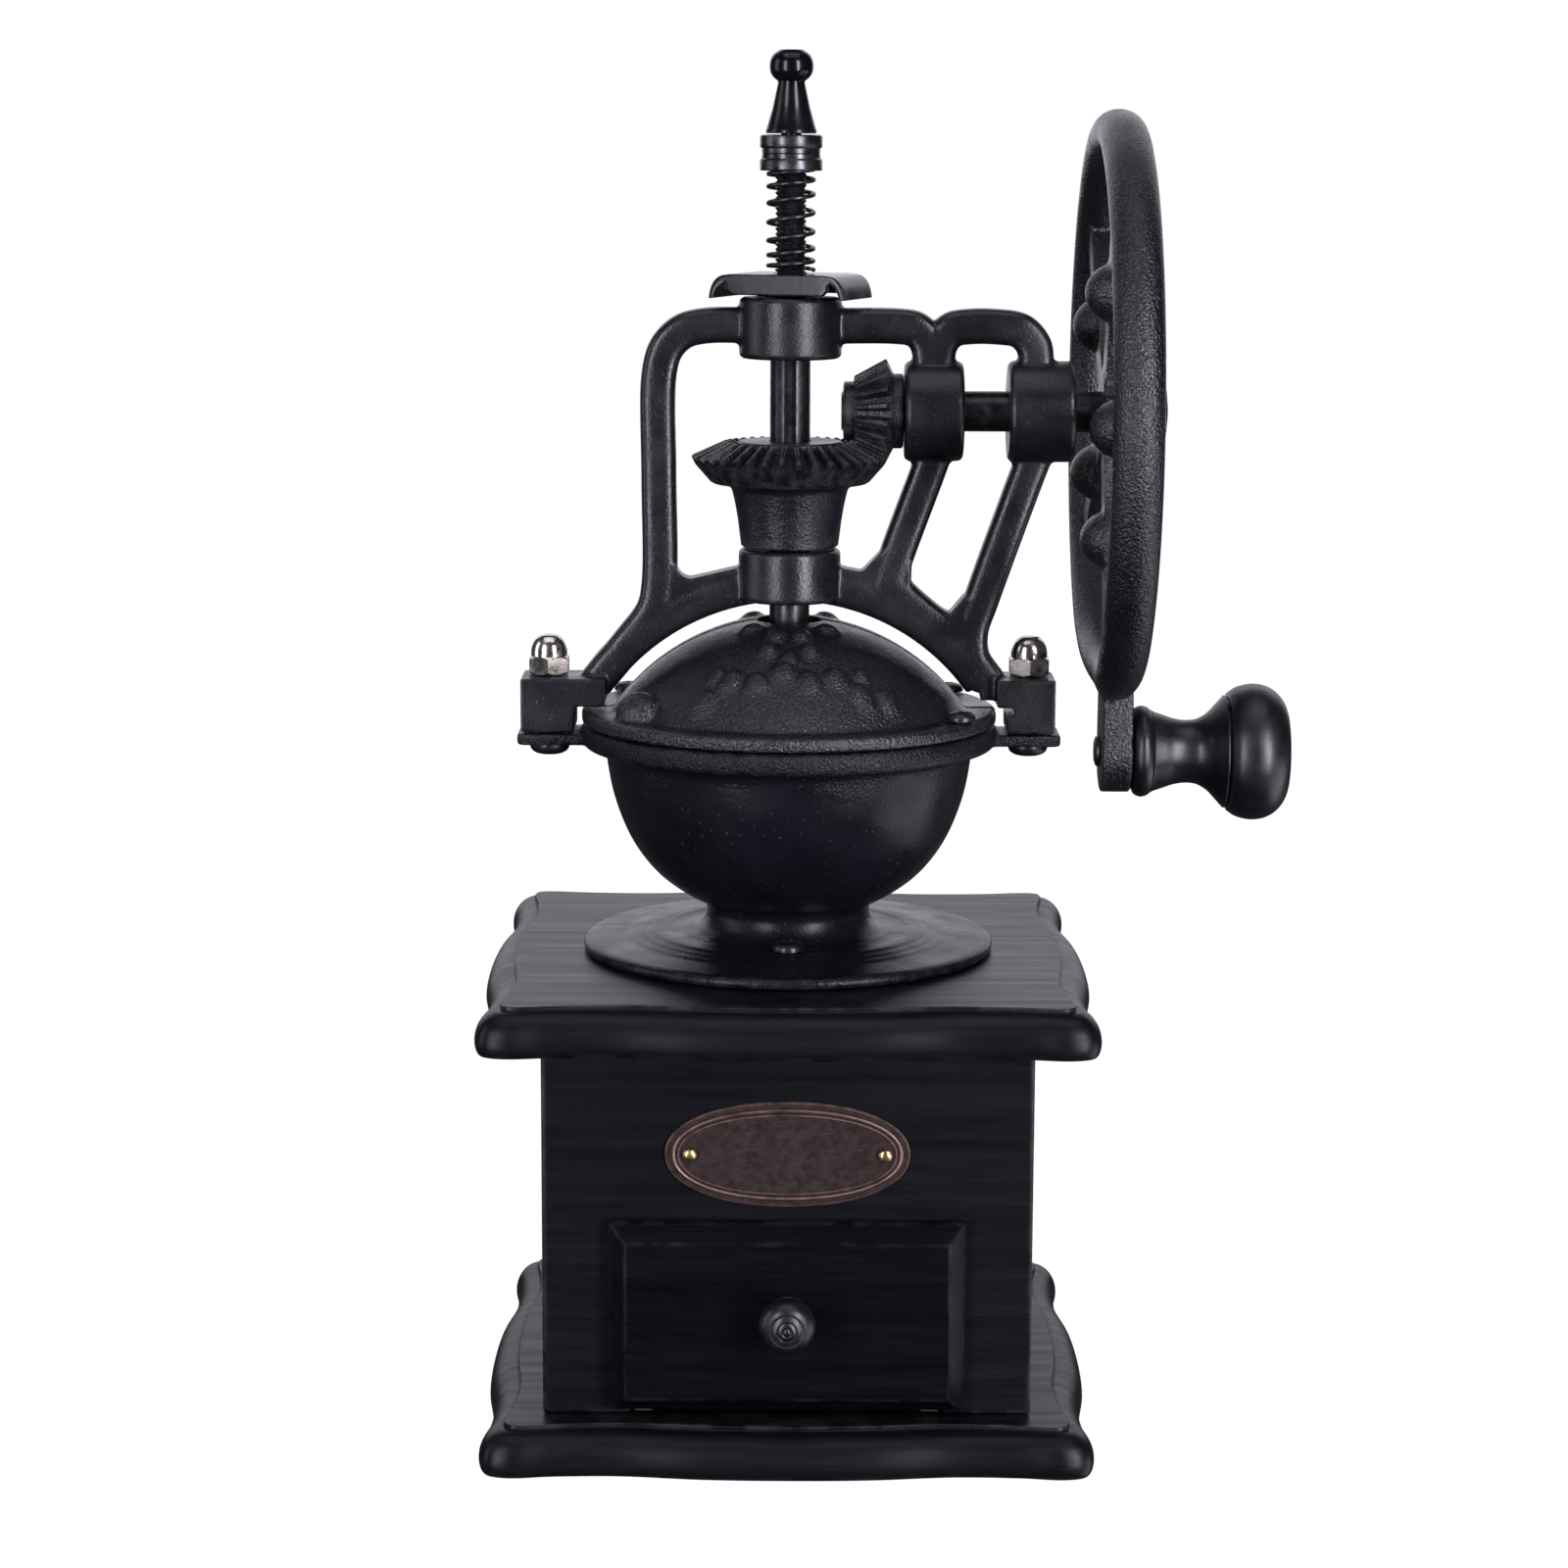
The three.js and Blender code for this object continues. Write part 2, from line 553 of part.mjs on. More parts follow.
function buildYoke() {
  const webThickness = 8;
  const leftWeb = web(
    [
      [-12, 203], [-12, 212.4], [-25, 208.9], [-29, 211.5], [-33, 214], [-33.5, 204],
      [-48.5, 184.2], ...arcPoints(0, ARCH.z, 56.5, 145, 102.5, 8),
    ],
    webThickness,
  );
  const rightWeb = web(
    [
      ...arcPoints(0, ARCH.z, 56.5, 77.5, 35, 8), [49.5, 184.2], [46.5, 192], [48.5, 204],
      [43.5, 205], [39.2, 199.8], [30.3, 207.2], [30.5, 214], [23.5, 217], [18, 211.2], [12, 212.4],
    ],
    webThickness,
  );
  const footBlocks = [
    block(-67, -53.6, -8.5, 8.5, EAR.top + GAP, 184.7), block(-67, -46, -8.5, 8.5, 177.6, 184.7),
    block(56.4, 66.5, -8.5, 8.5, EAR.top + GAP, 184.7), block(51.9, 66.5, -8.5, 8.5, 177.6, 184.7),
    block(48, 54, -4.4, 4.4, 179, 184.6), block(54.4, 60, -8.5, 8.5, EAR.top + GAP, 175.6),
  ];
  const bosses = [
    rod(TOP_BOSS.r, TOP_BOSS.bottom, TOP_BOSS.top, 24),
    rod(LOW_BOSS.r, LOW_BOSS.bottom, LOW_BOSS.top, 24),
    alongX(rod(INNER_BOSS.r, INNER_BOSS.from, INNER_BOSS.to, 24)),
    alongX(rod(OUTER_BOSS.r, OUTER_BOSS.from, OUTER_BOSS.to, 24)),
  ];
  const notch = new THREE.BoxGeometry(6, 20, 6).rotateY(Math.PI / 4).translate(35.7, 0, 277.4);
  const bores = [
    rod(BORE_R, 190, 290), alongX(rod(BORE_R, 20, 80)),
    ...[-1, 1].map((side) => rod(3.3, 165, 190).translate(side * BOLT_X, 0, 0)),
  ];
  const frame = join(...yokeBars(), leftWeb, rightWeb, ...footBlocks, ...bosses);
  add("yoke", cut(frame, notch, ...bores), satinIron());

  const bolt = [[0, 164.5], [3.4, 165], [5, 166.4], [5, 167.5], [3, 167.5], [3, 190.2], [0, 190.8]];
  const capInside = [[0, 191.2], [3.3, 191.2], [3.3, 185]];
  const capDome = turned(
    [...capInside, [4.4, 185], [4.4, 191], [3.9, 193], [2.4, 194.6], [0, 195.1], [0, 191.2]], 12,
  );
  const capHex = cut(hexRod(11.2, 185, 189.6), rod(3.5, 180, 195, 12));
  for (const [side, x] of [["left", -BOLT_X], ["right", BOLT_X]]) {
    add(`yoke_bolt_${side}`, turned(bolt, 16), blackSteel()).position.x = x;
    add(`cap_nut_${side}`, join(capDome, capHex), brightSteel()).position.x = x;
  }
}

// ---------------------------------------------------------------- bevel gears
// The flank outline of a straight bevel gear about +Z, with its pitch cone's apex at the origin
// and its teeth on the side of +Z. Each tooth gives four points: root, tip, tip, root.
function toothRing(teeth, coneAngle, distance, rise, rootDrop, phase) {
  const along = [Math.sin(coneAngle), Math.cos(coneAngle)];
  const up = [Math.cos(coneAngle), -Math.sin(coneAngle)];
  const scale = distance / CONE.outer;
  const place = (height) => [
    along[0] * distance + up[0] * height * scale,
    along[1] * distance + up[1] * height * scale,
  ];
  const tip = place(rise);
  const root = place(-rootDrop);
  const tipHalf = 0.13;
  const rootHalf = 0.3;
  const points = [];
  for (let i = 0; i < teeth; i++) {
    const corners = [[-rootHalf, root], [-tipHalf, tip], [tipHalf, tip], [rootHalf, root]];
    for (const [shift, [r, z]] of corners) {
      const turn = (TAU * (i + shift)) / teeth + phase;
      points.push(vec(r * Math.cos(turn), r * Math.sin(turn), z));
    }
  }
  return points;
}

function plainRing(teeth, r, z, phase) {
  const like = toothRing(teeth, Math.PI / 4, 1, 0, 0, phase);
  return like.map((p) => {
    const turn = Math.atan2(p.y, p.x);
    return vec(r * Math.cos(turn), r * Math.sin(turn), z);
  });
}

function buildGears(gearGroup, wheelGroup) {
  const pinionAngle = Math.atan(PINION_TEETH / GEAR_TEETH);
  const gearAngle = Math.PI / 2 - pinionAngle;
  const { outer, inner, addendum, dedendum } = CONE;

  // The gear's teeth point up at the pinion, so its cone opens downwards from the apex.
  const gearPhase = Math.PI / GEAR_TEETH;
  const gearTeeth = (distance) =>
    toothRing(GEAR_TEETH, gearAngle, distance, addendum, dedendum, gearPhase).map((p) =>
      p.setZ(SHAFT_Z - p.z),
    );
  const gearCrown = loft(
    [
      plainRing(GEAR_TEETH, 11, 233.2, gearPhase), plainRing(GEAR_TEETH, 19.6, 233.2, gearPhase),
      gearTeeth(outer), gearTeeth(inner), plainRing(GEAR_TEETH, 11, 241, gearPhase),
    ],
    true,
  );
  const gearHub = ring(
    [[BORE_R, 217.3], [12.15, 217.3], [13.1, 224], [14.9, 233.4], [13, 241.2], [BORE_R, 241.2]], 20,
  );
  const gearKeyway = block(-1.5, 1.5, -6.8, 0, 210, 250);
  const gear = cut(join(gearCrown, gearHub), gearKeyway);
  add("bevel_gear", gear, castIron(), gearGroup);
  add("gear_key", block(-1.2, 1.2, -6.5, -3.5, 218.5, 232), blackSteel(), gearGroup);

  const pinionTeeth = (distance) =>
    toothRing(PINION_TEETH, pinionAngle, distance, addendum, dedendum, 0);
  const pinionCrown = loft(
    [
      plainRing(PINION_TEETH, 6, 15.6, 0), pinionTeeth(inner), pinionTeeth(outer),
      plainRing(PINION_TEETH, 9.25, 25.6, 0), plainRing(PINION_TEETH, 6, 25.6, 0),
    ],
    true,
  );
  const pinionHub = tubeRing(BORE_R, 7.3, 13.2, 26, 18);
  const pinionCollar = tubeRing(BORE_R, 9.25, 25, 28, 18);
  const pinionKeyway = block(-6.8, 0, -1.5, 1.5, 19, 30);
  const pinion = cut(join(pinionCrown, pinionHub, pinionCollar), pinionKeyway);
  add("pinion", alongX(pinion), castIron(), wheelGroup);
  add(
    "pinion_key",
    block(19.5, 27.8, -1.2, 1.2, SHAFT_Z + 3.5, SHAFT_Z + 6.5),
    blackSteel(),
    wheelGroup,
  );
}

// ---------------------------------------------------------------- shaft, handwheel and handle
function buildWheel(wheelGroup) {
  const shaft = alongX(
    turned([[0, 12.7], [4.6, 12.7], [5, 13.2], [5, 86.2], [3.9, 86.2], [3.9, 93], [0, 93.4]], 20),
  );
  const shaftKeyway = block(19.2, 28.3, -1.5, 1.5, SHAFT_Z + 3.2, SHAFT_Z + 8);
  add("drive_shaft", cut(shaft, shaftKeyway), blackSteel(), wheelGroup);

  const rim = new THREE.TorusGeometry(WHEEL.r, WHEEL.section, 8, 32);
  rim.rotateY(Math.PI / 2).scale(WHEEL.rimHalf / WHEEL.section, 1, 1).translate(WHEEL.x, 0, SHAFT_Z);
  const hub = alongX(rod(WHEEL.hubR, 77, 86));
  const pieces = [rim, hub];
  for (let i = 0; i < WHEEL.spokes; i++) {
    const turn = THREE.MathUtils.degToRad(39 + (360 * i) / WHEEL.spokes);
    const outline = [[6, 5.2], [22, 4.6], [32, 7.2], [42, 4], [66, 4.6]];
    const shape = new THREE.Shape([
      ...outline.map(([r, half]) => new THREE.Vector2(r, -half)),
      ...outline.map(([r, half]) => new THREE.Vector2(r, half)).reverse(),
    ]);
    const spoke = new THREE.ExtrudeGeometry(shape, { depth: 5.6, bevelEnabled: false });
    const dome = new THREE.SphereGeometry(8.2, 10, 6).scale(1, 1, 9.2 / 8.2);
    for (const piece of [spoke.translate(0, 0, -2.8), dome.translate(WHEEL.bossAt, 0, 0)]) {
      // Radius runs along +Y and then turns about the wheel's axis.
      piece.rotateZ(Math.PI / 2).rotateY(Math.PI / 2).rotateX(turn);
      pieces.push(piece.translate(WHEEL.x, 0, SHAFT_Z));
    }
  }
  const lugFrom = 78.3;
  const lugTo = 86;
  const lugRadius = 10.3;
  pieces.push(block(lugFrom, lugTo, -8.6, 8.6, HANDLE_Z, 183));
  pieces.push(alongX(rod(lugRadius, lugFrom, lugTo), HANDLE_Z));
  const handleHole = alongX(rod(3.1, 70, 90), HANDLE_Z);
  const hubHole = alongX(rod(BORE_R, 70, 90));
  const wheel = cut(join(...pieces), handleHole, hubHole);
  add("handwheel", wheel, castIron(), wheelGroup);

  const washer = alongX(tubeRing(4.4, 9, 86.5, 88, 20));
  add("wheel_washer", washer, blackSteel(), wheelGroup);
  const nut = alongX(cut(hexRod(15, 88.3, 93), rod(4.2, 80, 100, 16)));
  add("wheel_nut", nut, blackSteel(), wheelGroup);

  const bolt = [
    [0, 76.9], [3, 76.9], [4, 77.5], [4, 78], [2.8, 78], [2.8, 121], [4.8, 121], [4.8, 122.6],
    [3.6, 123.6], [0, 123.6],
  ];
  add("handle_bolt", alongX(turned(bolt, 16), HANDLE_Z), blackSteel(), wheelGroup);

  const knobProfile = [
    [3.1, 86.3], [10.2, 86.3], [11.5, 88.5], [10.9, 91.6], [9.3, 94.2], [7.9, 100.4],
    [10.1, 105.5], [14.6, 110.5], [17.1, 115], [16.9, 119.4], [14, 123.2], [9, 125.3],
    [5.6, 125.6], [5.6, 120.7], [3.1, 120.7],
  ];
  add("handle_knob", alongX(ring(knobProfile, 22), HANDLE_Z), blackWood(), mill);
}

// ---------------------------------------------------------------- spindle and grind adjuster
function buildSpindle(spindleGroup) {
  const profile = [
    [0, 109.5], [3.6, 109.5], [4, 110], [4, 138], [SPINDLE_R, 138], [SPINDLE_R, 277.6],
    [THREAD_R, 278.4], [THREAD_R, 318.4], [2.5, 318.4], [2.5, 325.4], [0, 325.8],
  ];
  const keyway = block(-1.5, 1.5, -6, -3.2, 206, 276);
  add("spindle", cut(turned(profile, 20), keyway), blackSteel(), spindleGroup);

  const collar = [
    [4.3, 314.4], [4.3, 318.5], [7.4, 318.5], [7.7, 318], [7.7, 315.3], [7.2, 315],
    [7.2, 312.7], [7.7, 312.4], [7.7, 309.8], [6.75, 309.8], [6.75, 314.4],
  ];
  add("spring_collar", ring(collar, 20), glossIron(), spindleGroup);

  const finial = [
    [2.8, 318.8], [6.3, 318.8], [6.3, 319.6], [4.6, 325], [3.35, 331.2], [4.6, 332.5],
    [5.4, 334.2], [5.4, 336], [4.2, 338.2], [2.2, 339], [0, 339],
    [0, 326.2], [2.8, 326.2], [2.8, 318.8],
  ];
  add("finial", turned(finial, 18), glossIron(), spindleGroup);
}

function buildAdjuster(gearGroup) {
  const nutBottom = TOP_BOSS.top + GAP;
  const nut = tubeRing(THREAD_R + GAP, 8.6, nutBottom, nutBottom + 3.6, 24);
  add("adjusting_nut", nut, blackSteel(), gearGroup);

  // A pressed plate whose two ends curl down as finger wings and whose long sides fold down.
  const sheet = 1.6;
  const topZ = 284.8;
  const wing = (inset) => [
    [17.8 - inset, 278.7], [17.1 - inset, 281.6], [15 - inset * 0.9, 284.1 - inset * 0.8],
    [12.2, topZ - inset],
  ];
  const mirror = (points) => points.map(([x, z]) => [-x, z]).reverse();
  const arch = web(
    [...wing(0), ...mirror(wing(0)), ...mirror(wing(sheet)).reverse(), ...wing(sheet).reverse()],
    21,
  );
  const skirts = [-1, 1].map((side) => {
    const y = side * 9.7;
    return block(-13, 13, y - sheet / 2, y + sheet / 2, 279.5, topZ - 0.2);
  });
  const plate = cut(join(arch, ...skirts), rod(THREAD_R + 0.4, 270, 290, 24));
  add("locking_plate", plate, glossIron(), gearGroup).rotation.z = THREE.MathUtils.degToRad(-20.5);

  const wire = 0.55;
  const coilR = 5.6;
  const turns = 6.5;
  const from = topZ + GAP + wire;
  const to = 311.3;
  const stepsPerTurn = 8;
  const count = turns * stepsPerTurn;
  // The first and last turns lie close, and the turns between them are open.
  const eased = (t) => t - 0.062 * Math.sin(TAU * t);
  const points = Array.from({ length: count + 1 }, (_, i) => {
    const turn = (TAU * i) / stepsPerTurn;
    return vec(coilR * Math.cos(turn), coilR * Math.sin(turn), from + (to - from) * eased(i / count));
  });
  const coil = bar(new THREE.CatmullRomCurve3(points), wire, count, 5);
  add("adjuster_spring", outward(coil), blackSteel(), gearGroup);
}

// ---------------------------------------------------------------- assembly
const wheelGroup = new THREE.Group();
const gearGroup = new THREE.Group();
const spindleGroup = new THREE.Group();
mill.add(wheelGroup, gearGroup, spindleGroup);

buildBoxWood();
buildDrawer();
buildBadge();
buildBowl();
buildBurrs(spindleGroup);
buildLid();
buildYoke();
buildGears(gearGroup, wheelGroup);
buildWheel(wheelGroup);
buildSpindle(spindleGroup);
buildAdjuster(gearGroup);

export default mill;
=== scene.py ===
"""The looks of a hand-cranked coffee mill, built round its CAD frame.

Shapes are worked out in millimetres in the frame's own axes (+Z up, +X towards the handwheel, the
drawer opens towards -Y) and become metres when a piece is made.
"""

import json
import math

import bmesh
import bpy
import numpy as np
from mathutils import Matrix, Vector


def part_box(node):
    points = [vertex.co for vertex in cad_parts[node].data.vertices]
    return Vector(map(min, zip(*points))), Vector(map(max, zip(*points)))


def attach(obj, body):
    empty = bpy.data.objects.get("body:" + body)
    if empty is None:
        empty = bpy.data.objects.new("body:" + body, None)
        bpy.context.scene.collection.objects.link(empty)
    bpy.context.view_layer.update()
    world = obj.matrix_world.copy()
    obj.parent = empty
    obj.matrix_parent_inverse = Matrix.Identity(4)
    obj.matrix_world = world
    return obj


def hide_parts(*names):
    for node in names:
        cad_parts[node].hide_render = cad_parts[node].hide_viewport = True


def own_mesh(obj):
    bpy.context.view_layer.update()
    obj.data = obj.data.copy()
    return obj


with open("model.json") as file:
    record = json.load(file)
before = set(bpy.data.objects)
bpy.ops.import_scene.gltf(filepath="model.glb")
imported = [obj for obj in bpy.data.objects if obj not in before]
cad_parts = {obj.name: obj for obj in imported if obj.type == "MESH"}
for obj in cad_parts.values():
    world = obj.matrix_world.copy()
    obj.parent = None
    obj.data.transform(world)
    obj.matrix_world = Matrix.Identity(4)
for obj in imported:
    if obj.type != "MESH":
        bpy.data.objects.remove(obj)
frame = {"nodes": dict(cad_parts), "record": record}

MM = 0.001
TAU = math.tau
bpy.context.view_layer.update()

BODY_OF = {
    node: body
    for body, nodes in frame["record"]["behaviour"]["bodies"].items()
    for node in nodes
}
SLOT_OF = {s["node"]: s["material_slot"] for s in frame["record"]["subparts"]}
FOOT_SCREWS = sorted(node for node in SLOT_OF if node.startswith("foot_screw"))
REAR_SCREWS = ["rear_cover_screw_1", "rear_cover_screw_2"]
BASE_SCREWS = [f"base_screw_{k}" for k in range(1, 5)]
NAILS = ["nameplate_nail_left", "nameplate_nail_right"]


# -------------------- measures taken from the frame
def low(node):
    return np.array(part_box(node)[0]) / MM


def high(node):
    return np.array(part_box(node)[1]) / MM


def centre(node):
    return (low(node) + high(node)) / 2


GAP = 0.3  # between pieces that touch
FOOT_Z = low("bowl")[2]
RIM_Z = high("bowl")[2]
RIM_R = 52
SHAFT_Z = centre("drive_shaft")[2]
WHEEL_X = (low("handwheel")[0] + high("handwheel")[0]) / 2
HANDLE_Z = centre("handle_knob")[2]
BOLT_X = centre("cap_nut_right")[0]
SPINDLE_R = 5
BORE_R = SPINDLE_R + GAP
THREAD_R = 4
THREAD_PITCH = 1.25
EAR_BOTTOM = 167.8
EAR_TOP = 170.8
BOLT_BORE_R = 3.3
NAIL_BORE_R = 1.1


# -------------------- shapes: (points, faces)
def together(*shapes):
    """Several shapes as one, each still closed by itself."""
    points, faces, base = [], [], 0
    for spots, loops in shapes:
        points.append(spots)
        faces += [tuple(i + base for i in loop) for loop in loops]
        base += len(spots)
    return np.vstack(points), faces


def moved(shape, x=0.0, y=0.0, z=0.0):
    return shape[0] + (x, y, z), shape[1]


def turned(shape, axis, degrees):
    spin = np.array(Matrix.Rotation(math.radians(degrees), 3, axis))
    return shape[0] @ spin.T, shape[1]


def scaled(shape, x, y, z):
    return shape[0] * (x, y, z), shape[1]


def along_x(shape, z=SHAFT_Z):
    """A shape made along Z, laid along +X at height z."""
    return moved(turned(shape, "Y", 90), z=z)


def along_minus_y(shape):
    """A shape made along Z, laid along -Y."""
    return turned(shape, "X", 90)


def loft(rings, closed=False):
    """Skins rings of equally many points: capped at both ends, or closed on itself."""
    rings = [np.asarray(ring, float) for ring in rings]
    rows, columns = len(rings), len(rings[0])
    faces = []
    for i in range(rows if closed else rows - 1):
        here, there = i * columns, (i + 1) % rows * columns
        for j in range(columns):
            k = (j + 1) % columns
            faces.append((here + j, here + k, there + k, there + j))
    if not closed:
        faces.append(tuple(range(columns)))
        faces.append(tuple(range((rows - 1) * columns, rows * columns)))
    return np.vstack(rings), faces


def circle(r, z, sides):
    turn = np.arange(sides) * TAU / sides
    return np.column_stack([r * np.cos(turn), r * np.sin(turn), np.full(sides, z)])


def lathe(profile, sides=96, closed=None):
    """A profile of (radius, height) points turned about Z.

    It starts and ends on the axis, or closes on itself, as a profile clear of the axis always does.
    """
    if closed is None:
        closed = min(r for r, _ in profile) > 0
    return loft([circle(max(r, 1e-6), z, sides) for r, z in profile], closed)


def rod(r, z0, z1, sides=64, chamfer=0.0):
    c = chamfer
    if not c:
        return lathe([(0, z0), (r, z0), (r, z1), (0, z1)], sides)
    return lathe([(0, z0), (r - c, z0), (r, z0 + c), (r, z1 - c), (r - c, z1), (0, z1)], sides)


def block(x0, x1, y0, y1, z0, z1):
    ring = [(x0, y0), (x1, y0), (x1, y1), (x0, y1)]
    return loft([[(x, y, z) for x, y in ring] for z in (z0, z1)])


def prism(outline, y0, y1):
    """An outline in the XZ plane, drawn out from y0 to y1."""
    return loft([[(x, y, z) for x, z in outline] for y in (y0, y1)])


def arc(cx, cy, r, from_deg, to_deg, steps):
    turns = np.radians(np.linspace(from_deg, to_deg, steps + 1))
    return [(cx + r * math.cos(t), cy + r * math.sin(t)) for t in turns]


def spline(points, per_span=8, closed=False):
    """A centripetal Catmull-Rom curve through the points."""
    p = np.asarray(points, float)
    ends = (p[-1:], p[:2]) if closed else ([2 * p[0] - p[1]], [2 * p[-1] - p[-2]])
    p = np.vstack([ends[0], p, ends[1]])
    out = []
    for a, b, c, d in zip(p, p[1:], p[2:], p[3:]):
        t1 = math.sqrt(np.linalg.norm(b - a))
        t2 = t1 + math.sqrt(np.linalg.norm(c - b))
        t3 = t2 + math.sqrt(np.linalg.norm(d - c))
        t = np.linspace(t1, t2, per_span, endpoint=False)[:, None]
        ab = (a * (t1 - t) + b * t) / t1
        bc = (b * (t2 - t) + c * (t - t1)) / (t2 - t1)
        cd = (c * (t3 - t) + d * (t - t2)) / (t3 - t2)
        abc = (ab * (t2 - t) + bc * t) / t2
        bcd = (bc * (t3 - t) + cd * (t - t1)) / (t3 - t1)
        out.append((abc * (t2 - t) + bcd * (t - t1)) / (t2 - t1))
    if not closed:
        out.append(p[-2:-1])
    return np.vstack(out)


def rounded(points, per_span=6):
    """A smooth run of profile points, as a list to put between straight ones."""
    return [tuple(p) for p in spline(points, per_span)]


def tube(path, r, sides=24, power=2.0):
    """A bar along a path: round at power 2, and squarer with flat faces above it."""
    path = np.asarray(path, float)
    heading = np.gradient(path, axis=0)
    heading /= np.linalg.norm(heading, axis=1)[:, None]
    across = np.cross(heading[0], (0.013, 1.0, 0.007))
    turn = np.arange(sides) * TAU / sides
    out = np.column_stack([np.cos(turn), np.sin(turn)])
    out = np.sign(out) * np.abs(out) ** (2 / power)
    rings = []
    for spot, ahead in zip(path, heading):
        across = across - ahead * (across @ ahead)
        across /= np.linalg.norm(across)
        side = np.cross(ahead, across)
        rings.append(spot + r * (out[:, :1] * across + out[:, 1:] * side))
    return loft(rings)


def bar(points, r, per_span=8):
    """A flat-faced bar through (x, z) points in the plane Y = 0."""
    return tube([(x, 0, z) for x, z in spline(points, per_span)], r, 32, 3.6)


def dome(r, height, sides=48, rings=12):
    """The upper part of an ellipsoid on a flat base."""
    profile = [(0, -0.2 * height)] + [
        (r * math.cos(t), height * math.sin(t)) for t in np.linspace(-0.2, TAU / 4, rings)
    ]
    profile[-1] = (0, height)
    return lathe(profile, sides)


def bores(nodes, r, z0, z1, sides=24):
    """An upright bore at each node's place."""
    return [moved(rod(r, z0, z1, sides), *centre(node)[:2]) for node in nodes]


def bolt_bores(z0, z1):
    return [moved(rod(BOLT_BORE_R, z0, z1, 32), side * BOLT_X) for side in (-1, 1)]


def nail_bores(near, far):
    """The nails' bores, between two distances towards -Y."""
    bore = along_minus_y(rod(NAIL_BORE_R, near, far, 24))
    return [moved(bore, x, 0, z) for x, _, z in map(centre, NAILS)]


# -------------------- making pieces
def placed(name, data):
    """A new object of the scene that holds the data."""
    made = bpy.data.objects.new(name, data)
    bpy.context.scene.collection.objects.link(made)
    return made


def new_object(name, shape):
    points, faces = shape
    mesh = bpy.data.meshes.new(name)
    mesh.from_pydata((points * MM).tolist(), [], faces)
    form = bmesh.new()
    form.from_mesh(mesh)
    bmesh.ops.remove_doubles(form, verts=form.verts, dist=2e-6)
    bmesh.ops.recalc_face_normals(form, faces=form.faces)
    form.to_mesh(mesh)
    form.free()
    return placed(name, mesh)


def settle(piece):
    """Puts the modifiers' result in the piece's mesh and clears them."""
    graph = bpy.context.evaluated_depsgraph_get()
    done = bpy.data.meshes.new_from_object(piece.evaluated_get(graph))
    piece.modifiers.clear()
    before, piece.data = piece.data, done
    bpy.data.meshes.remove(before)


def soften(piece, width, segments=3, angle=30):
    """Rounds a piece's sharp edges."""
    edge = piece.modifiers.new("edges", "BEVEL")
    edge.width = width * MM
    edge.segments = segments
    edge.limit_method = "ANGLE"
    edge.angle_limit = math.radians(angle)
    settle(piece)
    frame_faces(piece)


def frame_faces(piece, margin=0.9):
    """Gives each wide face a margin of its own, so that the edge wear and the painted edge highlight stay by
    the edges.
    """
    form = bmesh.new()
    form.from_mesh(piece.data)
    reach = 2.5 * margin * MM
    wide = []
    for face in form.faces:
        rim = sum(edge.calc_length() for edge in face.edges)
        if face.calc_area() / rim > reach / 2:
            wide.append(face)
    bmesh.ops.inset_individual(form, faces=wide, thickness=margin * MM, use_even_offset=True)
    form.to_mesh(piece.data)
    form.free()
    mark_edge_wear_and_highlight(piece)


def cast(piece, voxel=0.5, passes=5):
    """Welds overlapping shapes into one skin with soft corners, as a casting has."""
    skin = piece.modifiers.new("skin", "REMESH")
    skin.mode = "VOXEL"
    skin.voxel_size = voxel * MM
    smooth = piece.modifiers.new("smooth", "SMOOTH")
    smooth.factor = 0.5
    smooth.iterations = passes
    settle(piece)
    mark_edge_wear_and_highlight(piece)


def cut(piece, *tools):
    """Cuts shapes that don't overlap each other out of a piece."""
    cut_with(piece, new_object("cutter", together(*tools)))


def cut_with(piece, cutter):
    """Cuts an object out of a piece and clears it away."""
    away = piece.modifiers.new("cut", "BOOLEAN")
    away.operation = "DIFFERENCE"
    away.solver = "EXACT"
    away.object = cutter
    settle(piece)
    mesh = cutter.data
    bpy.data.objects.remove(cutter)
    bpy.data.meshes.remove(mesh)


def mark_edge_wear_and_highlight(piece, blur=2):
    """Stores how far each point stands out on a convex edge, for the materials to paint edge wear and a
    painted edge highlight there.
    """
    form = bmesh.new()
    form.from_mesh(piece.data)
    form.verts.ensure_lookup_table()
    worn_and_highlight = np.zeros(len(form.verts))
    for edge in form.edges:
        bend = edge.calc_face_angle_signed(0.0) if len(edge.link_faces) == 2 else 0.0
        for spot in edge.verts:
            worn_and_highlight[spot.index] = max(worn_and_highlight[spot.index], bend)
    pairs = np.array([[v.index for v in edge.verts] for edge in form.edges])
    form.free()
    worn_and_highlight = np.clip(worn_and_highlight / math.radians(40), 0, 1)
    for _ in range(blur):
        total, count = worn_and_highlight.copy(), np.ones(len(worn_and_highlight))
        for here, there in (pairs.T, pairs.T[::-1]):
            np.add.at(total, here, worn_and_highlight[there])
            np.add.at(count, here, 1)
        worn_and_highlight = total / count
    layer = piece.data.attributes.new("edge_wear_and_highlight", "FLOAT", "POINT")
    layer.data.foreach_set("value", worn_and_highlight.astype(np.float32))


def stand_for(piece, node, finish=None, sharp=38):
    """The piece takes a CAD node's place: its body, its slot and its finish."""
    mesh = piece.data
    mesh.polygons.foreach_set("use_smooth", [True] * len(mesh.polygons))
    mesh.set_sharp_from_angle(angle=math.radians(sharp))
    if "edge_wear_and_highlight" not in mesh.attributes:
        mark_edge_wear_and_highlight(piece)
    mesh.materials.clear()
    mesh.materials.append(finish or FINISHES[SLOT_OF[node]])
    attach(piece, BODY_OF[node])
    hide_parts(node)
    return piece


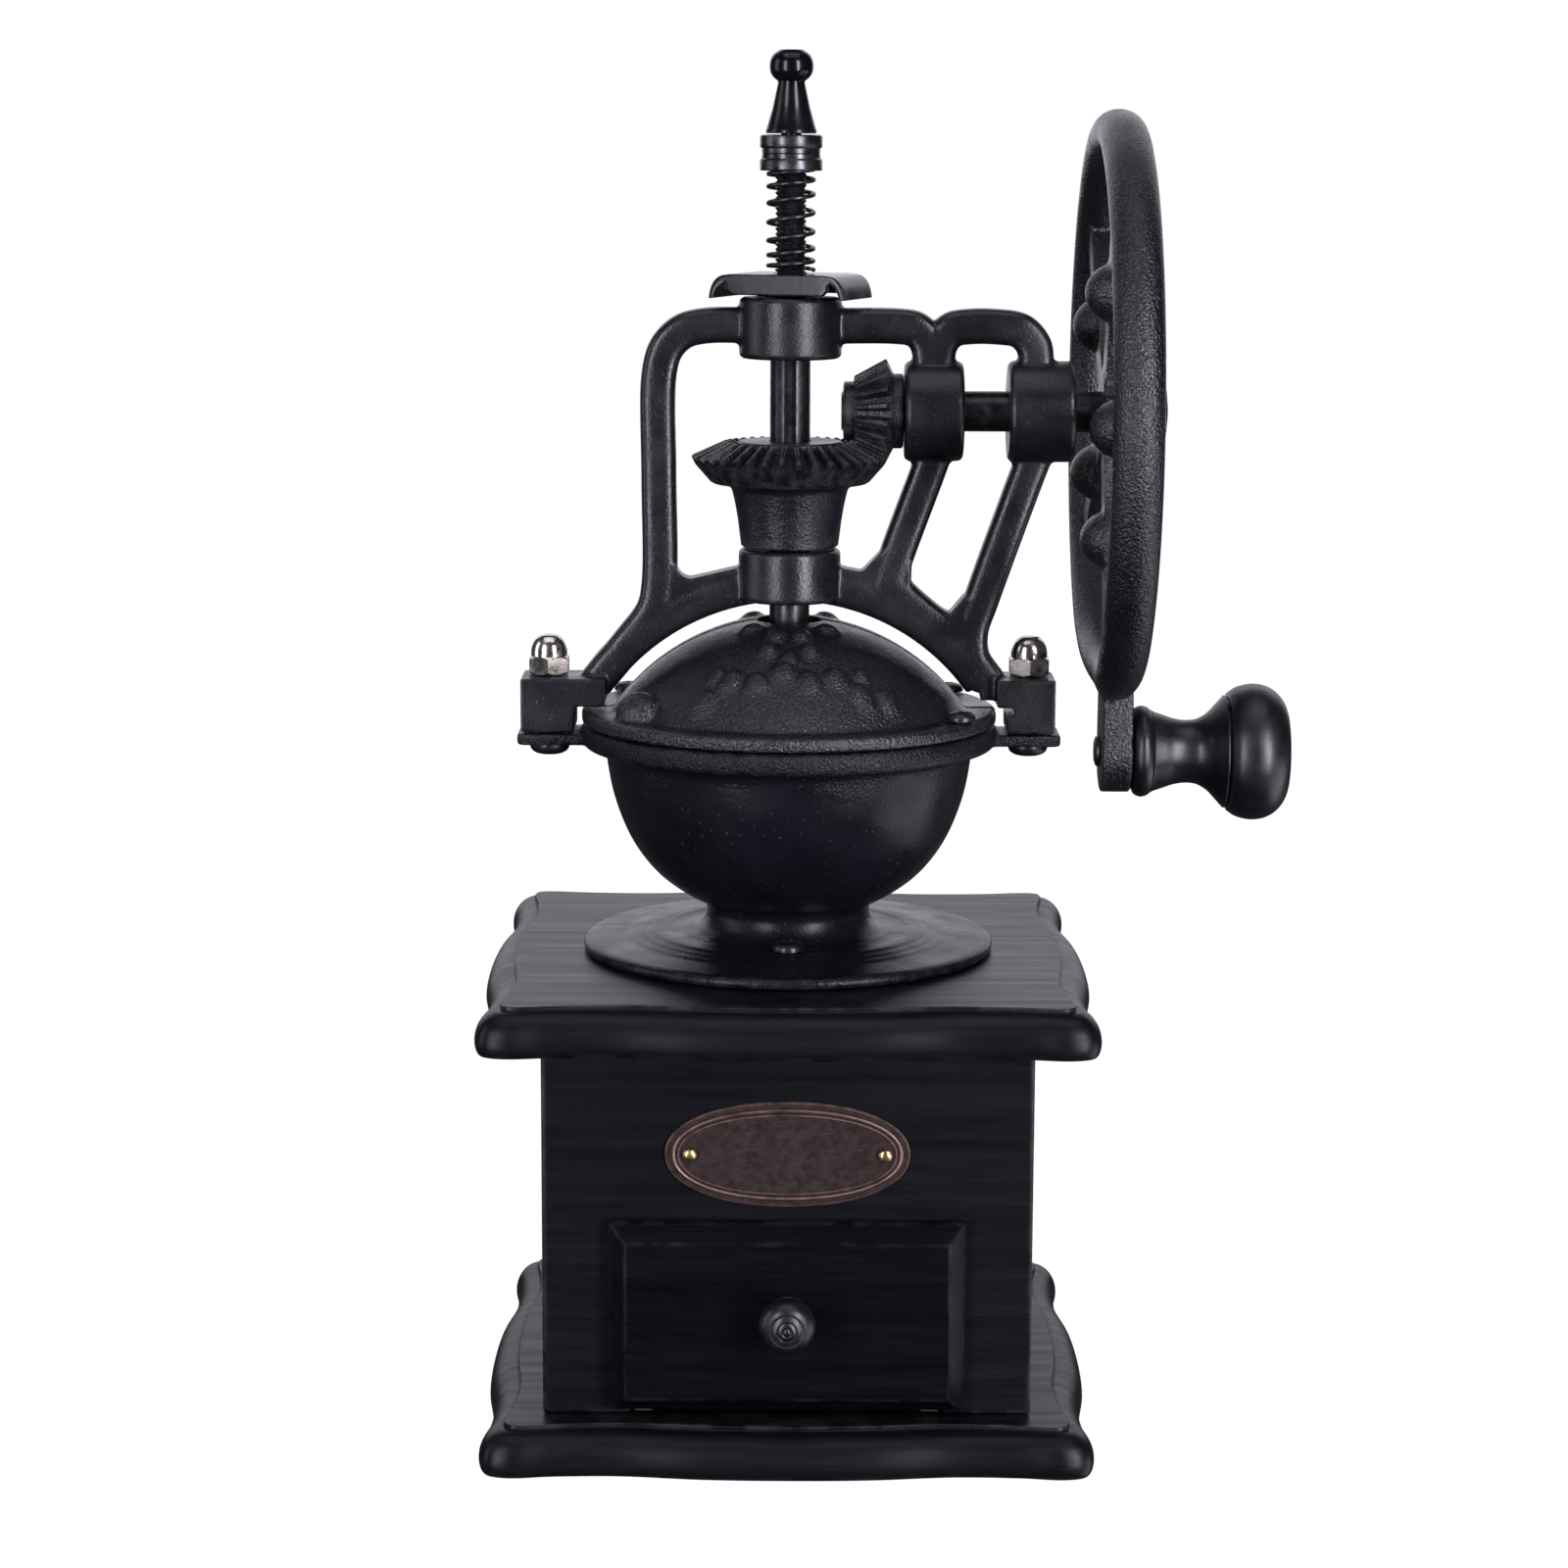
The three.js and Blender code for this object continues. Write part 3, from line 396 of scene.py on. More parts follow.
def make(node, shape, finish=None, edge=0.0, sharp=38, skin=None, cuts=()):
    """A piece that takes a CAD node's place.

    Its sharp edges are rounded by edge, or it is cast with skin's voxel size and passes. Then each
    group of shapes in cuts is cut out of it.
    """
    piece = new_object(f"{node}_look", shape)
    if edge:
        soften(piece, edge)
    if skin:
        cast(piece, *skin)
    for tools in cuts:
        cut(piece, *tools)
    return stand_for(piece, node, finish, sharp)


# -------------------- finishes
class Finish:
    """One procedural material, and short calls that add a node to it."""

    def __init__(self, name, metallic=0.0, specular=0.5, coat=0.0):
        self.made = bpy.data.materials.new(name)
        self.made.use_nodes = True
        self.tree = self.made.node_tree
        self.shader = self.tree.nodes["Principled BSDF"]
        for key, value in (("Metallic", metallic), ("Specular IOR Level", specular), ("Coat Weight", coat)):
            self.shader.inputs[key].default_value = value
        self.place = self.node("ShaderNodeTexCoord").outputs["Object"]
        # How far each point stands out on a convex edge, used for rubbed wear and for a painted edge
        # highlight.
        self.edge_wear_and_highlight = self.node("ShaderNodeAttribute", attribute_name="edge_wear_and_highlight").outputs["Fac"]

    def node(self, kind, inputs=None, **settings):
        made = self.tree.nodes.new(kind)
        for key, value in settings.items():
            setattr(made, key, value)
        for key, value in (inputs or {}).items():
            if isinstance(value, bpy.types.NodeSocket):
                self.tree.links.new(value, made.inputs[key])
            else:
                made.inputs[key].default_value = value
        return made

    def noise(self, size, detail=2.0, stretch=(1, 1, 1), rough=0.5):
        """Cloudy noise whose features are about size millimetres across."""
        spread = tuple(s / (size * MM) for s in stretch)
        spot = self.node("ShaderNodeMapping", {"Vector": self.place, "Scale": spread})
        inputs = {"Vector": spot.outputs[0], "Scale": 1.0, "Detail": detail, "Roughness": rough}
        return self.node("ShaderNodeTexNoise", inputs).outputs[0]

    def between(self, value, low, high, start=0.0, end=1.0):
        """value from low to high becomes a number from start to end."""
        keys = ("Value", "From Min", "From Max", "To Min", "To Max")
        return self.node("ShaderNodeMapRange", dict(zip(keys, (value, low, high, start, end)))).outputs[0]

    def maths(self, operation, a, b):
        return self.node("ShaderNodeMath", {0: a, 1: b}, operation=operation).outputs[0]

    def blend(self, share, a, b):
        """Colour a where share is 0, colour b where it is 1."""
        mix = self.node("ShaderNodeMix", {0: share}, data_type="RGBA")
        for key, colour in ((6, a), (7, b)):
            if isinstance(colour, bpy.types.NodeSocket):
                self.tree.links.new(colour, mix.inputs[key])
            else:
                mix.inputs[key].default_value = (*colour, 1.0)
        return mix.outputs[2]

    def overlay(self, share, strength, under, over):
        """Colour over laid on colour under, by share times strength."""
        return self.blend(self.maths("MULTIPLY", share, strength), under, over)

    def wear_and_highlight_patches(self, edge_wear_and_highlight, size, detail, patches):
        """Convex edges broken into patches, where they are worn and where a painted edge highlight stands in
        for light catching them: the first and last arguments are ranges for between.
        """
        return self.maths(
            "MULTIPLY", self.between(self.edge_wear_and_highlight, *edge_wear_and_highlight), self.between(self.noise(size, detail), *patches)
        )

    def bump(self, height, depth, strength=1.0, under=None):
        """A bump of depth millimetres, on top of another one."""
        inputs = {"Height": height, "Distance": depth * MM, "Strength": strength}
        if under is not None:
            inputs["Normal"] = under
        return self.node("ShaderNodeBump", inputs).outputs[0]

    def set(self, colour=None, roughness=None, normal=None):
        for key, socket in (("Base Color", colour), ("Roughness", roughness), ("Normal", normal)):
            if socket is not None:
                self.tree.links.new(socket, self.shader.inputs[key])
        return self.made


DRESSED_DRIFT = 0.02  # metres, how far the border of the dressed skin wanders
DRESSED_FADE = 0.003  # metres, half the width of that border


def iron(name, peel, grain, rough, specular=0.5, coat=0.0, shade=1.0, smooth=None):
    """Black paint on cast iron: peel is the depth of its orange-peel skin, in millimetres.

    smooth is a range of heights, in millimetres, where the skin was dressed smooth.
    """
    f = Finish(name, specular=specular, coat=coat)
    cloud = f.noise(26, 3.0)
    colour = f.blend(
        f.between(cloud, 0.35, 0.65),
        tuple(shade * c for c in (0.0028, 0.0028, 0.0046)),
        tuple(shade * c for c in (0.0055, 0.0053, 0.0085)),
    )
    # Pale specks at the skin's grain size are painted glints: a painted highlight standing in for light
    # catching the orange-peel skin.
    painted_glint_specks = f.between(f.noise(0.8, 0.0), 0.79, 0.81)
    colour = f.overlay(painted_glint_specks, 0.14, colour, (0.16, 0.16, 0.17))
    # Lighter convex edges: mostly a painted edge highlight, with a little rubbed wear.
    colour = f.overlay(f.wear_and_highlight_patches((0.15, 0.7), 3, 4.0, (0.42, 0.62)), 0.5, colour, (0.04, 0.038, 0.04))
    roughness = f.between(f.noise(9, 4.0), 0.3, 0.7, rough - 0.07, rough + 0.08)
    skin = f.noise(grain, 2.0)
    waves = f.noise(5 * grain, 1.0)
    if smooth:
        height = f.node("ShaderNodeSeparateXYZ", {0: f.place}).outputs[2]
        drift = f.maths("MULTIPLY", f.noise(18, 2.0), DRESSED_DRIFT)
        level = f.maths("ADD", height, drift)
        start, end = (z * MM + DRESSED_DRIFT / 2 for z in smooth)
        rim = f.between(level, end - DRESSED_FADE, end + DRESSED_FADE, 0.1, 1.0)
        foot = f.between(level, start - DRESSED_FADE, start + DRESSED_FADE, 0.3, 0.1)
        share = f.maths("MAXIMUM", rim, foot)
        skin, waves = (f.maths("MULTIPLY", share, part) for part in (skin, waves))
    return f.set(colour, roughness, f.bump(skin, peel, 1.0, f.bump(waves, 0.2 * peel)))


def steel(name, colour, rough, tarnish, metallic=1.0):
    """Bare or blackened metal with fine turned lines and cloudy tarnish."""
    f = Finish(name, metallic=metallic)
    share = f.between(f.noise(5, 5.0, rough=0.65), 0.4, 0.7)
    tint = f.blend(share, colour, tarnish)
    lines = f.noise(0.35, 2.0, stretch=(0.25, 0.25, 1))
    roughness = f.between(f.noise(2.2, 4.0), 0.3, 0.7, rough - 0.07, rough + 0.12)
    return f.set(tint, roughness, f.bump(lines, 0.012, 1.0))


def bronze():
    """Dark patina with copper showing on the raised ridge and the rim."""
    f = Finish("bronze_patina", metallic=0.75)
    mottle = f.between(f.noise(4.5, 6.0, rough=0.7), 0.35, 0.7)
    colour = f.blend(mottle, (0.028, 0.019, 0.018), (0.042, 0.029, 0.027))
    brushed = f.noise(0.5, 3.0, stretch=(0.12, 1, 1))
    colour = f.blend(f.between(brushed, 0.5, 0.85), colour, (0.065, 0.038, 0.033))
    colour = f.overlay(f.wear_and_highlight_patches((0.3, 0.9), 6, 2.0, (0.2, 0.55)), 0.6, colour, (0.27, 0.17, 0.145))
    roughness = f.between(f.noise(2, 4.0), 0.3, 0.7, 0.36, 0.58)
    dents = f.bump(f.noise(3.5, 3.0), 0.12)
    return f.set(colour, roughness, f.bump(brushed, 0.02, 1.0, dents))


GRAIN = {"x": (0.05, 1, 1), "y": (1, 0.05, 1), "z": (1, 1, 0.05)}


def wood(name, along, dark, pale, worn_and_highlight, rough, specular=0.5, depth=0.05):
    """Wood with its grain along one axis: streaks, pores and lighter edges that are partly rubbed wear and
    partly a painted edge highlight.
    """
    f = Finish(name, specular=specular)
    streak = f.noise(6.5, 4.0, GRAIN[along], 0.6)
    fibre = f.noise(0.75, 3.0, GRAIN[along], 0.6)
    colour = f.blend(f.between(streak, 0.36, 0.66), dark, pale)
    colour = f.blend(f.between(fibre, 0.62, 0.42, 0.0, 0.55), colour, tuple(0.45 * c for c in dark))
    # Paler convex edges: rubbed wear, and a painted edge highlight along the ledges and noses.
    colour = f.overlay(f.wear_and_highlight_patches((0.2, 0.7), 7, 5.0, (0.45, 0.62)), 0.7, colour, worn_and_highlight)
    sheen = f.noise(3.5, 4.0, GRAIN[along])
    roughness = f.between(sheen, 0.3, 0.7, rough - 0.05, rough + 0.06)
    waves = f.bump(streak, depth * 1.6)
    return f.set(colour, roughness, f.bump(fibre, depth, 1.0, waves))


# The last colour is for the convex edges: rubbed wear and a painted edge highlight.
BLACK = {
    "dark": (0.0018, 0.0018, 0.0032), "pale": (0.0042, 0.004, 0.0068), "worn_and_highlight": (0.028, 0.026, 0.027),
}
BLACK_X = wood("black_wood_x", "x", **BLACK, rough=0.37, specular=0.19)
BLACK_Y = wood("black_wood_y", "y", **BLACK, rough=0.37, specular=0.19)
DRAWER_BLACK = wood("black_wood_drawer", "x", **BLACK, rough=0.34, specular=0.09)
TURNED_X = wood("black_wood_turned_x", "x", **BLACK, rough=0.36, depth=0.03)
TURNED_Y = wood("black_wood_turned_y", "y", **BLACK, rough=0.36, depth=0.03)
BARE = {"dark": (0.05, 0.03, 0.018), "pale": (0.1, 0.063, 0.036), "worn_and_highlight": (0.08, 0.052, 0.032)}
BARE_X = wood("bare_wood_x", "x", **BARE, rough=0.65, specular=0.3)
BARE_Y = wood("bare_wood_y", "y", **BARE, rough=0.65, specular=0.3)
BOWL_IRON = iron("iron_dressed_bowl", peel=0.45, grain=0.7, rough=0.31, specular=0.19, smooth=(122, 165))
GEAR_IRON = iron("iron_gear", peel=0.2, grain=0.7, rough=0.33, specular=0.32)
COLLAR_STEEL = steel("steel_collar", (0.09, 0.088, 0.096), 0.26, (0.03, 0.029, 0.031), 0.95)

FINISHES = {
    "black_wood": BLACK_X,
    "bare_wood": BARE_X,
    "cast_iron": iron("iron_orange_peel", peel=0.45, grain=0.7, rough=0.27),
    "satin_iron": iron("iron_satin", peel=0.08, grain=0.7, rough=0.33, specular=0.42),
    "gloss_iron": iron("iron_gloss", peel=0.02, grain=2.4, rough=0.2, specular=0.25, coat=0.08, shade=0.6),
    "black_steel": steel("steel_black", (0.05, 0.05, 0.055), 0.32, (0.024, 0.022, 0.022), 0.9),
    "nickel": steel("nickel_bright", (0.68, 0.66, 0.6), 0.15, (0.4, 0.36, 0.3)),
    "brass": steel("brass_aged", (0.72, 0.55, 0.24), 0.26, (0.36, 0.25, 0.1)),
    "bronze": bronze(),
}


# -------------------- wooden plates and box
PLATE = {"middle": 75.8, "dip": 72.9, "corner": 74.7, "ledge": 66.9, "nose": 3.1, "step": 1.0}
DOORWAY = {"half_x": 38, "top": 57.5}


def wavy_outline(middle, dip, corner, round_off=7.5):
    """The plate's outline seen from above, as points that go round it."""
    half = [
        (0, middle),
        (0.27 * middle, middle - 0.6),
        (0.54 * middle, dip),
        (0.76 * middle, dip + 0.25 * (corner - dip)),
        (corner - round_off, corner - 0.03 * round_off),
        (corner - 0.28 * round_off, corner - 0.28 * round_off),
    ]
    quarter = [(a, -b, 0) for a, b in half] + [(b, -a, 0) for a, b in reversed(half[1:-1])]
    corners = np.array(quarter, float)
    loop = [turned((corners, []), "Z", 90 * k)[0] for k in range(4)]
    return spline(np.vstack(loop), 7, closed=True)


def moulded_plate(bottom, thickness):
    """A board with a round nose, a tucked-in underside and a small ledge round its top."""
    outer = wavy_outline(PLATE["middle"], PLATE["dip"], PLATE["corner"])
    ledge_r = PLATE["ledge"]
    inner = wavy_outline(ledge_r + 1.8, ledge_r - 0.6, ledge_r + 1.6, 3.5)
    nose = PLATE["nose"]
    ledge = thickness - PLATE["step"]
    levels = []
    for t in np.linspace(0, TAU / 4, 7)[:-1]:
        levels.append((0.82 + 0.18 * math.sin(t), nose * (1 - math.cos(t))))
    for t in np.linspace(0, 0.94 * TAU / 4, 15):
        levels.append((math.cos(t), nose + (ledge - nose) * math.sin(t)))
    levels += [(0.03, ledge - 0.12), (0.0, ledge + 0.1), (0.0, thickness - 0.25), (-0.03, thickness)]
    levels = [(0.6, 0), *levels, (-0.3, thickness)]
    rings = []
    for out, z in levels:
        ring = inner + (outer - inner) * out
        ring[:, 2] = bottom + z
        rings.append(ring)
    return loft(rings)


def build_plates():
    thickness = high("base_plate")[2] - low("base_plate")[2]
    base = new_object("base_plate_look", moulded_plate(low("base_plate")[2], thickness))
    sink = lathe([(0, -1), (4.1, -1), (4.1, 3.7), (2.1, 3.7), (2.1, 14), (0, 14)], 32)
    mark_edge_wear_and_highlight(base)
    cut(base, *[moved(sink, *centre(node)[:2]) for node in BASE_SCREWS])
    stand_for(base, "base_plate")

    bottom = low("top_plate")[2]
    top = new_object("top_plate_look", moulded_plate(bottom, thickness))
    chute = rod(24.6, bottom - 1, bottom + thickness + 1)
    mark_edge_wear_and_highlight(top)
    cut(top, chute, *bores(FOOT_SCREWS, 2.1, 104, 120))
    stand_for(top, "top_plate")


def board(node, finish, edge=0.5):
    (x0, y0, z0), (x1, y1, z1) = low(node), high(node)
    return make(node, block(x0, x1, y0, y1, z0, z1), finish, edge)


def build_box():
    for side in ("left", "right"):
        board(f"box_{side}_panel", BLACK_Y, 0.4)
        board(f"drawer_guide_{side}", BLACK_Y, 0.4)
    board("box_back_panel", BLACK_X, 0.6)
    (x0, y0, z0), (x1, y1, z1) = low("box_front_panel"), high("box_front_panel")
    door, lintel = DOORWAY["half_x"], DOORWAY["top"]
    outline = [
        (x0, z0), (-door, z0), (-door, lintel), (door, lintel), (door, z0), (x1, z0), (x1, z1), (x0, z1),
    ]
    make("box_front_panel", prism(outline, y0, y1), edge=0.6, cuts=[nail_bores(-y0 - 6.5, -y0 + 1)])


# -------------------- drawer
def rectangle(x, z0, z1, y, inset=0.0):
    x, z0, z1 = x - inset, z0 + inset, z1 - inset
    return [(-x, y, z0), (x, y, z0), (x, y, z1), (-x, y, z1)]


def build_drawer():
    (_, y0, z0), (x1, y1, z1) = low("drawer_front"), high("drawer_front")
    slope, rim = 3.9, 2.6
    raised = loft([
        rectangle(x1, z0, z1, y1),
        rectangle(x1, z0, z1, y1 - rim),
        rectangle(x1, z0, z1, y0 + 0.5, slope - 0.3),
        rectangle(x1, z0, z1, y0, slope),
    ])
    front = new_object("drawer_front_look", raised)
    soften(front, 0.35, angle=20)
    z = centre("drawer_knob")[2]
    cut(front, moved(along_minus_y(rod(2, -y1 - 1, -y0 + 1, 32)), 0, 0, z))
    stand_for(front, "drawer_front", DRAWER_BLACK)

    for side in ("left", "right"):
        board(f"drawer_{side}_side", BARE_Y, 0.5)
    board("drawer_back", BARE_X, 0.5)
    board("drawer_floor", BARE_X, 0.2)

    length = high("drawer_knob")[1] - low("drawer_knob")[1]
    profile = [
        (2, 0), (4.4, 0),
        *rounded([(4.7, 0.3), (4.9, 1.0), (4.4, 1.8), (3.7, 2.9), (3.6, 4.4), (4.3, 5.4), (5.5, 6.3),
                  (6.5, 7.7), (6.8, 9.2), (6.5, 11.1), (5.5, 12.6), (4.2, 13.5)]),
        (3.9, 13.45), (3.6, 13.75), (2.6, 14.05), (2.35, 13.85), (2.1, 14.1), (1.4, 14.25),
        (1.1, 14.05), (0.8, 14.4), (0.5, length), (0, length), (0, 9), (2, 9), (2, 0),
    ]
    knob = moved(along_minus_y(lathe(profile, 72, closed=True)), z=z)
    make("drawer_knob", moved(knob, y=high("drawer_knob")[1]), TURNED_Y)

    shank = [(0, 0), (2.4, 0), (3.6, 0.8), (3.6, 1.8), (1.7, 1.8), (1.7, 16), (0, 17)]
    screw = moved(along_minus_y(lathe(shank, 32)), y=high("drawer_knob_screw")[1], z=z)
    make("drawer_knob_screw", screw)


# -------------------- nameplate
def oval(half_x, half_z, y, points=160):
    """A superellipse a little fuller than an ellipse, facing -Y."""
    power = 2 / 2.15
    turn = np.arange(points) * TAU / points
    c, s = np.cos(turn), np.sin(turn)
    x = half_x * np.sign(c) * np.abs(c) ** power
    z = half_z * np.sign(s) * np.abs(s) ** power
    return np.column_stack([x, np.full(points, y), z + centre("nameplate")[2]])


def build_nameplate():
    (_, y0, _), (x1, back, _) = low("nameplate"), high("nameplate")
    half_z = (high("nameplate")[2] - low("nameplate")[2]) / 2
    # Each step in from the rim: (distance from the rim, height above the sheet's back).
    sheet = back - y0
    steps = [(0, 0), (0, sheet - 0.35), (0.3, sheet), (0.5, sheet), (1.4, sheet)]
    ridge = [(1.5, sheet), (1.75, sheet + 0.3), (2.05, sheet + 0.42), (2.4, sheet + 0.3), (2.65, sheet - 0.1)]
    groove = [(2.95, sheet - 0.12), (3.15, sheet + 0.1), (3.4, sheet + 0.12), (3.6, sheet - 0.15)]
    field = [(5.0, sheet - 0.15), (9.0, sheet - 0.15)]
    rings = [oval(x1 - i, half_z - i, back - h) for i, h in steps + ridge + groove + field]
    plate = new_object("nameplate_look", loft(rings))
    mark_edge_wear_and_highlight(plate, 0)
    cut(plate, *nail_bores(55, 65))
    stand_for(plate, "nameplate")

    shank, crown = 5, 1.2
    head = rounded([(1.55, 0), (1.72, 0.25), (1.4, 0.8), (0.8, 1.1), (0, crown)])
    profile = [(0, -shank), (0.8, 1 - shank), (0.8, 0), *head[:-1], (0, crown)]
    for node in NAILS:
        x, _, z = centre(node)
        make(node, moved(along_minus_y(lathe(profile, 32)), x, high(node)[1] - shank, z))


# -------------------- screws
def cross_recess(size, top, depth):
    """The tapered cross that a screwdriver fits, as two tools that meet in the middle."""
    arm = []
    for wide, narrow, z in ((size, 0.26 * size, top + 0.2), (0.5 * size, 0.2 * size, top - depth)):
        corners = []
        for quarter in range(4):
            a = math.radians(90 * quarter)
            for x, y in ((narrow / 2, -narrow / 2), (wide / 2, -narrow / 2), (wide / 2, narrow / 2)):
                corners.append((x * math.cos(a) - y * math.sin(a), x * math.sin(a) + y * math.cos(a), z))
        arm.append(corners)
    return loft(arm)


def upright_screw(node, profile, recess, sides):
    """A screw turned from a profile, with its recess cut, at its node's place."""
    x, y, _ = centre(node)
    screw = new_object(f"{node}_look", lathe(profile, sides))
    cut(screw, recess)
    screw.data.transform(Matrix.Translation((x * MM, y * MM, 0)))
    stand_for(screw, node)


def pan_screw(node, seat, r, height, length, shank=1.75, turn=20):
    """A screw with a rounded head whose underside is at height seat."""
    tip, top = seat - length, seat + height
    head = rounded([(r, seat), (0.97 * r, seat + 0.4 * height), (0.75 * r, seat + 0.8 * height), (0, top)])
    profile = [(0, tip), (shank, tip + 1), (shank, seat), *head[:-1], (0, top)]
    upright_screw(node, profile, turned(cross_recess(1.05 * r, top, 0.8), "Z", turn), 48)


def build_screws():
    for node, turn in zip(FOOT_SCREWS, (30, 65)):
        pan_screw(node, high(node)[2] - 2.3, 4.0, 2.3, 10, turn=turn)
    for node, turn in zip(["lid_pivot_screw", *REAR_SCREWS], (15, 50, 80)):
        pan_screw(node, high(node)[2] - 2.2, 3.7, 2.2, 8.3, shank=1.9, turn=turn)
    for k, node in enumerate(BASE_SCREWS, 1):
        z = low(node)[2]
        profile = [(0, z), (3.6, z), (3.6, z + 0.5), (1.75, z + 2.8), (1.75, z + 25.5), (0, z + 27.5)]
        recess = turned(cross_recess(4.2, 0, 1.4), "X", 180)
        upright_screw(node, profile, moved(turned(recess, "Z", 25 * k), z=z), 40)


# -------------------- bowl
def build_bowl():
    z = FOOT_Z
    foot = [
        (51.2, z), *rounded([(51.7, z + 0.5), (51.75, z + 1.5), (51.2, z + 2.4), (50.2, z + 2.8)], 4),
        (40.6, z + 3.4), (40.0, z + 3.75), (37.8, z + 3.9), (37.2, z + 4.25), (35.0, z + 4.35),
        (34.3, z + 4.8), (30.6, z + 4.75), (30.0, z + 4.45), (26.8, z + 4.5), (26.2, z + 4.8),
        (24.4, z + 4.8),
    ]
    body = rounded([
        (23.2, 120.6), (21.6, 122), (20.4, 125), (21.2, 127.2), (24.4, 128.9), (28.9, 131.7),
        (33.2, 135.2), (37.2, 139.9), (40.2, 144.8), (42.6, 150.4), (44.4, 156.2), (45.5, 162),
        (45.9, 165),
    ])
    lip = [
        (46.6, 166.6), *rounded([(48.3, 167.3), (51.1, 167.5), (52.0, 168.4), (52.0, 172), (51.4, RIM_Z)], 4),
        (42.5, RIM_Z),
    ]
    inside = rounded([(42.3, 168), (42, 163), (39.6, 151.5), (33.5, 141), (24.5, 134.3), (17.6, 131.5)])
    bore = [(16.6, 130), (16.6, z)]
    shell = lathe([*foot, *body, *lip, *inside, *bore], 180)
    ears = []
    for side in (-1, 1):
        tongue = [
            (45, -8.2), *arc(66.3, -6.6, 1.7, -90, 0, 4), *arc(66.3, 6.6, 1.7, 0, 90, 4), (45, 8.2),
        ]
        ears.append(loft([[(side * x, y, level) for x, y in tongue] for level in (EAR_BOTTOM, EAR_TOP)]))
    holes = bolt_bores(160, 178) + bores(FOOT_SCREWS, 2.1, 110, 125)
    holes += bores(["lid_pivot_screw", *REAR_SCREWS], 2.2, 160, 178)
    make("bowl", together(shell, *ears), BOWL_IRON, skin=(0.55, 4), cuts=[holes])


# -------------------- dome lid
DOME = {"foot_r": 44, "foot_z": 177, "apex": 199.5, "shell": 2.5, "hole": 8, "rear_extra": 0.3}
PIVOT = centre("lid_pivot_screw")


def relief(x, y):
    """The height of the cast flower, beads and garland at a spot on the dome's front or back."""
    y = -np.abs(y)
    height = np.zeros_like(x)

    def add_spot(cx, cy, long, wide, rise, angle=0.0):
        c, s = math.cos(angle), math.sin(angle)
        u, v = (x - cx) * c + (y - cy) * s, (y - cy) * c - (x - cx) * s
        np.maximum(height, rise * np.exp(-(((u / long) ** 2 + (v / wide) ** 2) ** 1.8)), out=height)

    for k in range(5):
        turn = TAU * k / 5 - TAU / 4
        add_spot(5.4 * math.cos(turn), 5.4 * math.sin(turn) - 22, 2.4, 2.2, 1.8, turn)
    for side in (-1, 1):
        add_spot(17.8 * side, -28.4, 2, 2, 1.7)
        add_spot(9.5 * side, -11, 2.8, 2.2, 1.6)
    for k in range(-3, 5):
        add_spot(6.5 * k - 1.5, -32.4 + 1.2 * (-1) ** k, 3.1, 2.5, 1.7, 0.4 * (-1) ** k)
    return height


def dome_shell(extra):
    """The lid's whole dome and flange, with the relief on top."""
    rise = DOME["apex"] - DOME["foot_z"] + extra
    radius = (DOME["foot_r"] ** 2 + rise**2) / (2 * rise)
    middle = DOME["apex"] + extra - radius
    sides = 360

    def crown(r, ball):
        return middle + math.sqrt(ball * ball - r * r)

    rings = []
    for r in np.linspace(DOME["hole"], DOME["foot_r"], 90):
        ring = circle(r, crown(r, radius), sides)
        fade = min(1.0, (r - DOME["hole"]) / 2)
        ring[:, 2] += fade * relief(ring[:, 0], ring[:, 1])
        rings.append(ring)
    flange = [
        (44.8, 176.7), (50.6, 176.9), (51.6, 176.6), (RIM_R, 176), (RIM_R, 173.8), (51.7, RIM_Z + 0.4),
        (42.3, RIM_Z + 0.4),
    ]
    rings += [circle(r, z, sides) for r, z in flange]
    for r in np.linspace(41.6, DOME["hole"], 30):
        rings.append(circle(r, crown(r, radius - DOME["shell"]), sides))
    return loft(rings, closed=True)


def build_lid():
    halves_gap, far, z0, z1 = 0.4, 60, 150, 220
    behind = block(-far, far, -halves_gap, far, z0, z1)
    ahead = block(-far, far, -far, halves_gap, z0, z1)
    front = new_object("front_lid_look", dome_shell(0))
    # Beyond its pivot screw the front half is rounded off, so that it swings clear of the rear one.
    swing = rod(23.4, z0, z1, 120)
    corner = new_object("corner", block(PIVOT[0], far, PIVOT[1], 1, 160, 210))
    cut(corner, moved(swing, PIVOT[0], PIVOT[1]))
    cut(front, behind)
    cut_with(front, corner)
    grip = moved(scaled(dome(1, 1), 6.4, 6, 6.2), -36.2, -22, 177.4)
    lobe = new_object("lobe", grip)
    cut(lobe, behind)
    with bpy.context.temp_override(active_object=front, selected_editable_objects=[front, lobe]):
        bpy.ops.object.join()
    cast(front, 0.45, 2)
    cut(front, moved(rod(2.2, 160, 190, 32), PIVOT[0], PIVOT[1]))
    stand_for(front, "front_lid")

    rear = new_object("rear_cover_look", dome_shell(DOME["rear_extra"]))
    cut(rear, ahead)
    cast(rear, 0.45, 2)
    cut(rear, *bores(REAR_SCREWS, 2.2, 160, 179, 32))
    stand_for(rear, "rear_cover")


# -------------------- yoke
BEAD_R = 4.4
BAR_Z = 271.9
ARCH = {"z": 149, "r": 59}


